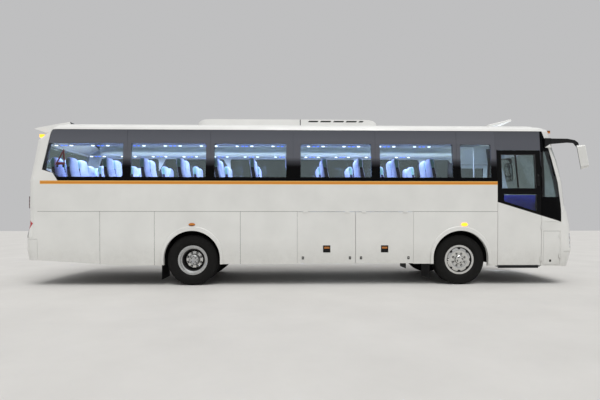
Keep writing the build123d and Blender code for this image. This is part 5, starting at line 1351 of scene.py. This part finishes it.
def end_place(skin, direction, height, y, out):
    """Gives a place on an end skin, facing away from the coach."""
    rise = (skin(height + 0.02, y) - skin(height - 0.02, y)) / 0.04
    turn = (skin(height, y + 0.02) - skin(height, y - 0.02)) / 0.04
    outward = Vector((1, -turn, -rise)) * direction
    outward.normalize()
    on_skin = Vector((skin(height, y), y, height))
    return place_on(on_skin + outward * out, (0, direction, 0), outward)


# %% [markdown]
# ## Front end
# The photograph shows the front only from its edge, so its face is a usual one for a coach
# of this kind: twin round headlamps behind a clear cover, fog lamps in the bumper and a
# blank number plate. The slatted air intake is cut in the front panel itself.

# %% Front trim
plate = bmesh.new()
holder = end_place(front_x, 1, 0.62, 0.0, 0.002)
add_plate(plate, round_outline(0.56, 0.15, 0.012), holder, 0.010, 0.003, finish=1)
add_plate(plate, round_outline(0.52, 0.11, 0.008), holder @ Matrix.Translation((0, 0, 0.010)), 0.003, 0.001)
finish_piece(plate, "front_plate", [white_enamel, black_plastic], "coach")
head = bmesh.new()
for sign in (-1, 1):
    for y, height, radius in ((0.78, 0.955, 0.075), (0.965, 0.955, 0.088)):
        spot = end_place(front_x, 1, height, sign * y, -0.012)
        inner = radius - 0.010
        rim = [(inner, 0.0), (radius, 0.0), (radius, 0.018), (radius - 0.006, 0.022), (inner, 0.018)]
        add_lathe(head, rim, spot, sides=40)
        arc = [(inner * cos(0.35 * n), 0.004 + 0.016 * sin(0.35 * n)) for n in range(5)]
        dome = [(0.0, 0.0), (inner, 0.0), *arc, (0.0, 0.020)]
        add_lathe(head, dome, spot, sides=40, finish=1)
    spot = end_place(front_x, 1, 0.565, sign * 0.86, -0.004)
    bezel = [(0.048, 0.0), (0.062, 0.0), (0.062, 0.010), (0.056, 0.014), (0.048, 0.010)]
    add_lathe(head, bezel, spot, sides=36, finish=2)
    add_lathe(head, [(0.0, 0.0), (0.048, 0.0), (0.044, 0.009), (0.0, 0.014)], spot, sides=36, finish=1)
finish_piece(
    head, "front_lamp_units", [bright_steel, clear_lens, black_plastic], "coach", smooth=50
)
print("front trim made")

# %% [markdown]
# ## Rear end
# The rear is out of sight too, apart from its outline: dark lamp columns at the corners, a
# red reflector that wraps round, a plain boot door and the wide rear window under its visor.

# %% Rear trim
REAR_LAMPS = ((1.115, 0, 0.052), (1.255, 0, 0.060), (1.400, 1, 0.060), (1.530, 2, 0.045))
rear = bmesh.new()
for sign in (-1, 1):
    for height, finish, radius in REAR_LAMPS:
        spot = end_place(rear_x, -1, height, sign * 1.105, -0.028)
        wide = radius + 0.010
        rim = [(radius, 0.0), (wide, 0.0), (wide, 0.026), (radius + 0.004, 0.031), (radius, 0.026)]
        add_lathe(rear, rim, spot, sides=36, finish=3)
        dome = [(0.0, 0.0), (radius, 0.0), (radius, 0.022), (radius * 0.7, 0.030), (0.0, 0.034)]
        add_lathe(rear, dome, spot, sides=36, finish=finish)
    spot = end_place(rear_x, -1, 0.80, sign * 1.02, -0.002)
    add_plate(rear, round_outline(0.14, 0.045, 0.010), spot, 0.010, 0.003)
    near, far = sorted((sign * 1.03, sign * 1.185))
    add_strip(rear, rear_x, -1, near, far, 1.655, 1.910, 0.010, 0.014, steps=4, rows=4, finish=4)
finish_piece(
    rear, "rear_lamp_units", [red_lens, amber_lens, clear_lens, bright_steel, smoke_lens], "coach",
    smooth=50,
)
plate = bmesh.new()
holder = end_place(rear_x, -1, 0.80, 0.0, 0.0005)
add_plate(plate, round_outline(0.56, 0.15, 0.012), holder, 0.004, 0.001, finish=1)
add_plate(plate, round_outline(0.52, 0.11, 0.008), holder @ Matrix.Translation((0, 0, 0.004)), 0.002, 0.0008)
finish_piece(plate, "rear_plate", [white_enamel, black_plastic], "coach")
boot = bmesh.new()
spot = end_place(rear_x, -1, 1.20, 0.0, -0.002)
add_plate(boot, round_outline(0.22, 0.075, 0.02), spot, 0.012, 0.004)
bar = spot @ Matrix.Translation((0, 0.012, 0.012))
add_plate(boot, round_outline(0.16, 0.020, 0.008), bar, 0.012, 0.004, finish=1)
finish_piece(boot, "boot_handle", [black_plastic, dark_steel_and_painted_shade], "boot_door")
print("rear trim made")

# %% [markdown]
# ## Mirrors
# Each head is a white shell with a black rim round two panes: a tall one and a small wide
# view pane under it. The panes face back along the coach.

# %% Mirror panes
MIRROR_TURN, MIRROR_LEAN = radians(35), radians(9)


def mirror_face(sign):
    """Finds the flat front of one mirror head, and gives its centre, facing and level edge."""
    facing = Vector((-cos(MIRROR_TURN), -sign * sin(MIRROR_TURN), -sin(MIRROR_LEAN))).normalized()
    mesh = nodes["mirrors"].data
    flat = [f for f in mesh.polygons if f.normal.dot(facing) > 0.999 and f.center.y * sign > 0]
    corners = [mesh.vertices[n].co for face in flat for n in face.vertices]
    low = Vector([min(c[k] for c in corners) for k in range(3)])
    high = Vector([max(c[k] for c in corners) for k in range(3)])
    return (low + high) / 2, facing, Vector((sin(MIRROR_TURN), -sign * cos(MIRROR_TURN), 0))


panes = bmesh.new()
for sign in (-1, 1):
    centre, facing, level = mirror_face(sign)
    spot = place_on(centre, level, facing)
    add_plate(panes, round_outline(0.222, 0.512, 0.058), spot, 0.006, 0.003, finish=1)
    for up, tall in ((0.072, 0.330), (-0.180, 0.135)):
        place = spot @ Matrix.Translation((0, up if spot.col[1].z > 0 else -up, 0.0055))
        add_plate(panes, round_outline(0.192, tall, 0.035), place, 0.003, 0.0012)
finish_piece(panes, "mirror_panes", [mirror_glass, black_plastic], "coach")
print("mirror panes: 4")

# %% [markdown]
# ## Air unit on the roof
# The unit is a moulded cover over condenser fans. Its front half has a row of slanted
# louvres on each flank, a joint line parts its halves, and round guards lie on its top.

# %% Louvres and fan guards
UNIT_SIDE, UNIT_TOP = 0.8495, 3.6648
LOUVRES = ((6.087, 6.300), (6.357, 6.590), (6.651, 6.880), (6.938, 7.170), (7.228, 7.320))
unit = bmesh.new()
for sign in (-1, 1):
    for start, end in LOUVRES:
        middle = place_on((at((start + end) / 2), sign * UNIT_SIDE, 3.622), (-sign, 0, 0), (0, sign, 0))
        lean = sign * 0.011
        slot = [(x - lean * y / 0.012, y) for x, y in round_outline(end - start, 0.030, 0.006)]
        add_plate(unit, slot, middle, 0.003, 0.001, finish=2)
        for n in range(3):
            blade = [
                (x, y * 0.5 - 0.009 + n * 0.009) for x, y in round_outline(end - start - 0.03, 0.006, 0.002)
            ]
            add_plate(unit, blade, middle @ Matrix.Translation((0, 0, 0.003)), 0.003, 0.001, finish=0)
    joint = place_on((at(5.900), sign * UNIT_SIDE, 3.580), (-sign, 0, 0), (0, sign, 0))
    add_plate(unit, round_outline(0.016, 0.165, 0.002), joint, 0.004, finish=2)
    rim = place_on((at(4.70), sign * UNIT_SIDE, 3.530), (-sign, 0, 0), (0, sign, 0))
    add_plate(unit, round_outline(2.10, 0.008, 0.002), rim, 0.003, 0.001, finish=1)
spot = place_on((at(5.900), 0, UNIT_TOP), (1, 0, 0), (0, 0, 1))
add_plate(unit, round_outline(0.010, 1.70, 0.002), spot, 0.002)
for station in (4.30, 5.10, 6.60, 7.15):
    for y in (-0.42, 0.42):
        guard = place_on((at(station), y, UNIT_TOP), (1, 0, 0), (0, 0, 1))
        for radius in (0.06, 0.12, 0.18, 0.235):
            near, far = radius - 0.004, radius + 0.004
            add_lathe(unit, [(near, 0.0), (far, 0.0), (far, 0.008), (near, 0.008)], guard, sides=40, finish=1)
        add_lathe(unit, [(0.0, 0.0), (0.24, 0.0), (0.24, 0.0015), (0.0, 0.0015)], guard, sides=40)
        for n in range(8):
            spoke = guard @ Matrix.Rotation(n * pi / 4, 4, "Z") @ Matrix.Translation((0.125, 0, 0))
            add_plate(unit, round_outline(0.22, 0.008, 0.002), spoke, 0.009, 0.002, finish=1)
finish_piece(unit, "air_unit_louvres", [dark_steel_and_painted_shade, roof_enamel_with_painted_light, seal_rubber], "coach")
print("air unit trimmed")

# %% [markdown]
# ## Curtain
# A white cotton curtain hangs gathered behind the driver's door, on a short rail. Its folds
# are a wave whose depth and place drift a little on the way down, as a hanging cloth's do.
# The cloth's flat width is the wave's own length.

# %% Gathered curtain
curtain = bmesh.new()
FOLDS, HANG_TOP, HANG_LOW = 6, 2.952, 2.066
FOLD_DEPTH, CURTAIN_Y = 0.0105, -1.148
start_x, end_x = at(10.183) + 0.004, at(10.295) - 0.004
columns = FOLDS * 12
levels = 24
grid = []
for level in range(levels + 1):
    part = level / levels
    height = HANG_TOP + (HANG_LOW - HANG_TOP) * part
    line = []
    for n in range(columns + 1):
        u = n / columns
        drift = 0.85 + 0.15 * sin(2.1 * pi * part + 5 * u)
        depth = FOLD_DEPTH * drift * sin(2 * pi * FOLDS * u + 0.6 * sin(3 * part))
        line.append(Vector((start_x + (end_x - start_x) * u, CURTAIN_Y + depth, height + 0.003 * sin(9 * u))))
    grid.append([curtain.verts.new(p) for p in line])
for low, high in zip(grid, grid[1:]):
    for n in range(columns):
        curtain.faces.new((low[n], low[n + 1], high[n + 1], high[n]))
cloth = finish_piece(curtain, "gathered_curtain", [curtain_cotton], "coach", smooth=180)
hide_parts("cab_curtain")
rail = bmesh.new()
add_tube(rail, [(start_x - 0.01, CURTAIN_Y, 2.962), (end_x + 0.01, CURTAIN_Y, 2.962)], 0.009)
for x in (start_x - 0.006, end_x + 0.006):
    add_tube(rail, [(x, CURTAIN_Y, 2.962), (x, -side_y(2.97) + 0.058, 2.972)], 0.006)
finish_piece(rail, "curtain_rail", [silver_paint], "coach")

# %% [markdown]
# ## Driver's place
# The driver's seat is a sprung seat with a deep cushion on a bellows box. It is built from
# the same soft rings as the passengers' seats, on its own proportions.

# %% Driver's seat
driver_floor = 1.100
driver_origin = Vector((at(10.295), -0.735, driver_floor))
soft = bmesh.new()
rows = [
    (height, ahead - 0.012, width * 1.10, depth * 1.05) for height, ahead, width, depth in BACK_RINGS
]
add_rings(soft, [seat_ring(*row, 28) for row in rows], driver_origin)
add_cushion(soft, driver_origin + Vector((0.305, 0, 0.488)), (0.225, 0.238, 0.056), 0.03, steps=28, layers=11)
driver_pad = finish_piece(soft, "driver_seat_pads", [moquette], "coach", smooth=60)
base = bmesh.new()
for n in range(5):
    place = place_on(driver_origin + Vector((0.265, 0, 0.02 + n * 0.078)), (1, 0, 0), (0, 0, 1))
    add_plate(base, round_outline(0.34, 0.31, 0.05), place, 0.04, 0.012)
    add_plate(base, round_outline(0.31, 0.28, 0.05), place @ Matrix.Translation((0, 0, 0.038)), 0.042)
finish_piece(base, "driver_seat_base", [black_plastic], "coach")
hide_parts("driver_seat")
print("driver's seat made")

# %% [markdown]
# ## Floor and light
# A plain pale floor catches the shadow, and the same pale tone closes the background. One
# broad soft light from high above shapes the body, as the evening sky does in the picture:
# the roof's edge is brightest and the sides are in soft shade. The world fills the rest.

# %% Floor
floor_mesh = bmesh.new()
corners = ((-40, -30), (40, -30), (40, 40), (-40, 40))
floor_mesh.faces.new([floor_mesh.verts.new((*corner, -0.001)) for corner in corners])
floor_data = bpy.data.meshes.new("studio_floor")
floor_mesh.to_mesh(floor_data)
floor_mesh.free()
studio_floor = bpy.data.objects.new("studio_floor", floor_data)
bpy.context.scene.collection.objects.link(studio_floor)
floor_finish = worked("pale_floor", ("#CFCDC9", "#D6D4D0"), 0.8, 0.3, Roughness=0.75, IOR=1.45)
floor_data.materials.append(floor_finish)

# %% Light
world = bpy.data.worlds.new("studio")
bpy.context.scene.world = world
world.use_nodes = True
background = world.node_tree.nodes["Background"]
background.inputs["Color"].default_value = linear("#D9D9DA")
background.inputs["Strength"].default_value = 0.75
key_data = bpy.data.lights.new("broad_key", "SUN")
key_data.energy = 1.9
key_data.angle = radians(40)
key = bpy.data.objects.new("broad_key", key_data)
key.rotation_euler = (radians(27), 0, radians(12))
bpy.context.scene.collection.objects.link(key)
bpy.context.scene.view_settings.view_transform = "Standard"
print("floor and light set")

# %% [markdown]
# The cabin lamps are on in the picture, and they are what makes the seats show through the
# tinted panes. Small glowing lenses give little light in a render, so each side of the
# saloon also gets one long soft lamp under the rack, a third one washes the ceiling from
# below, and the cab gets a small one.

# %% Cabin light
for name, x, y, z, length, width, power, colour in (
    ("saloon_lamp_right", at(5.15), -0.62, 3.05, 9.4, 0.25, 245, "#DDE4FF"),
    ("saloon_lamp_left", at(5.15), 0.62, 3.05, 9.4, 0.25, 245, "#DDE4FF"),
    ("ceiling_wash", at(5.7), 0.0, 2.72, 9.9, 0.35, 190, "#EAF0F4"),
    ("cab_lamp", at(10.7), 0.1, 2.95, 0.9, 0.5, 110, "#DDE6F2"),
):
    lamp_data = bpy.data.lights.new(name, "AREA")
    lamp_data.shape = "RECTANGLE"
    lamp_data.size = length
    lamp_data.size_y = width
    lamp_data.energy = power
    lamp_data.color = linear(colour)[:3]
    lamp = bpy.data.objects.new(name, lamp_data)
    lamp.location = (x, y, z)
    lamp.visible_camera = lamp.visible_transmission = lamp.visible_glossy = False
    if name == "ceiling_wash":
        lamp.rotation_euler = (radians(180), 0, 0)
    bpy.context.scene.collection.objects.link(lamp)
print("cabin lamps: 4")
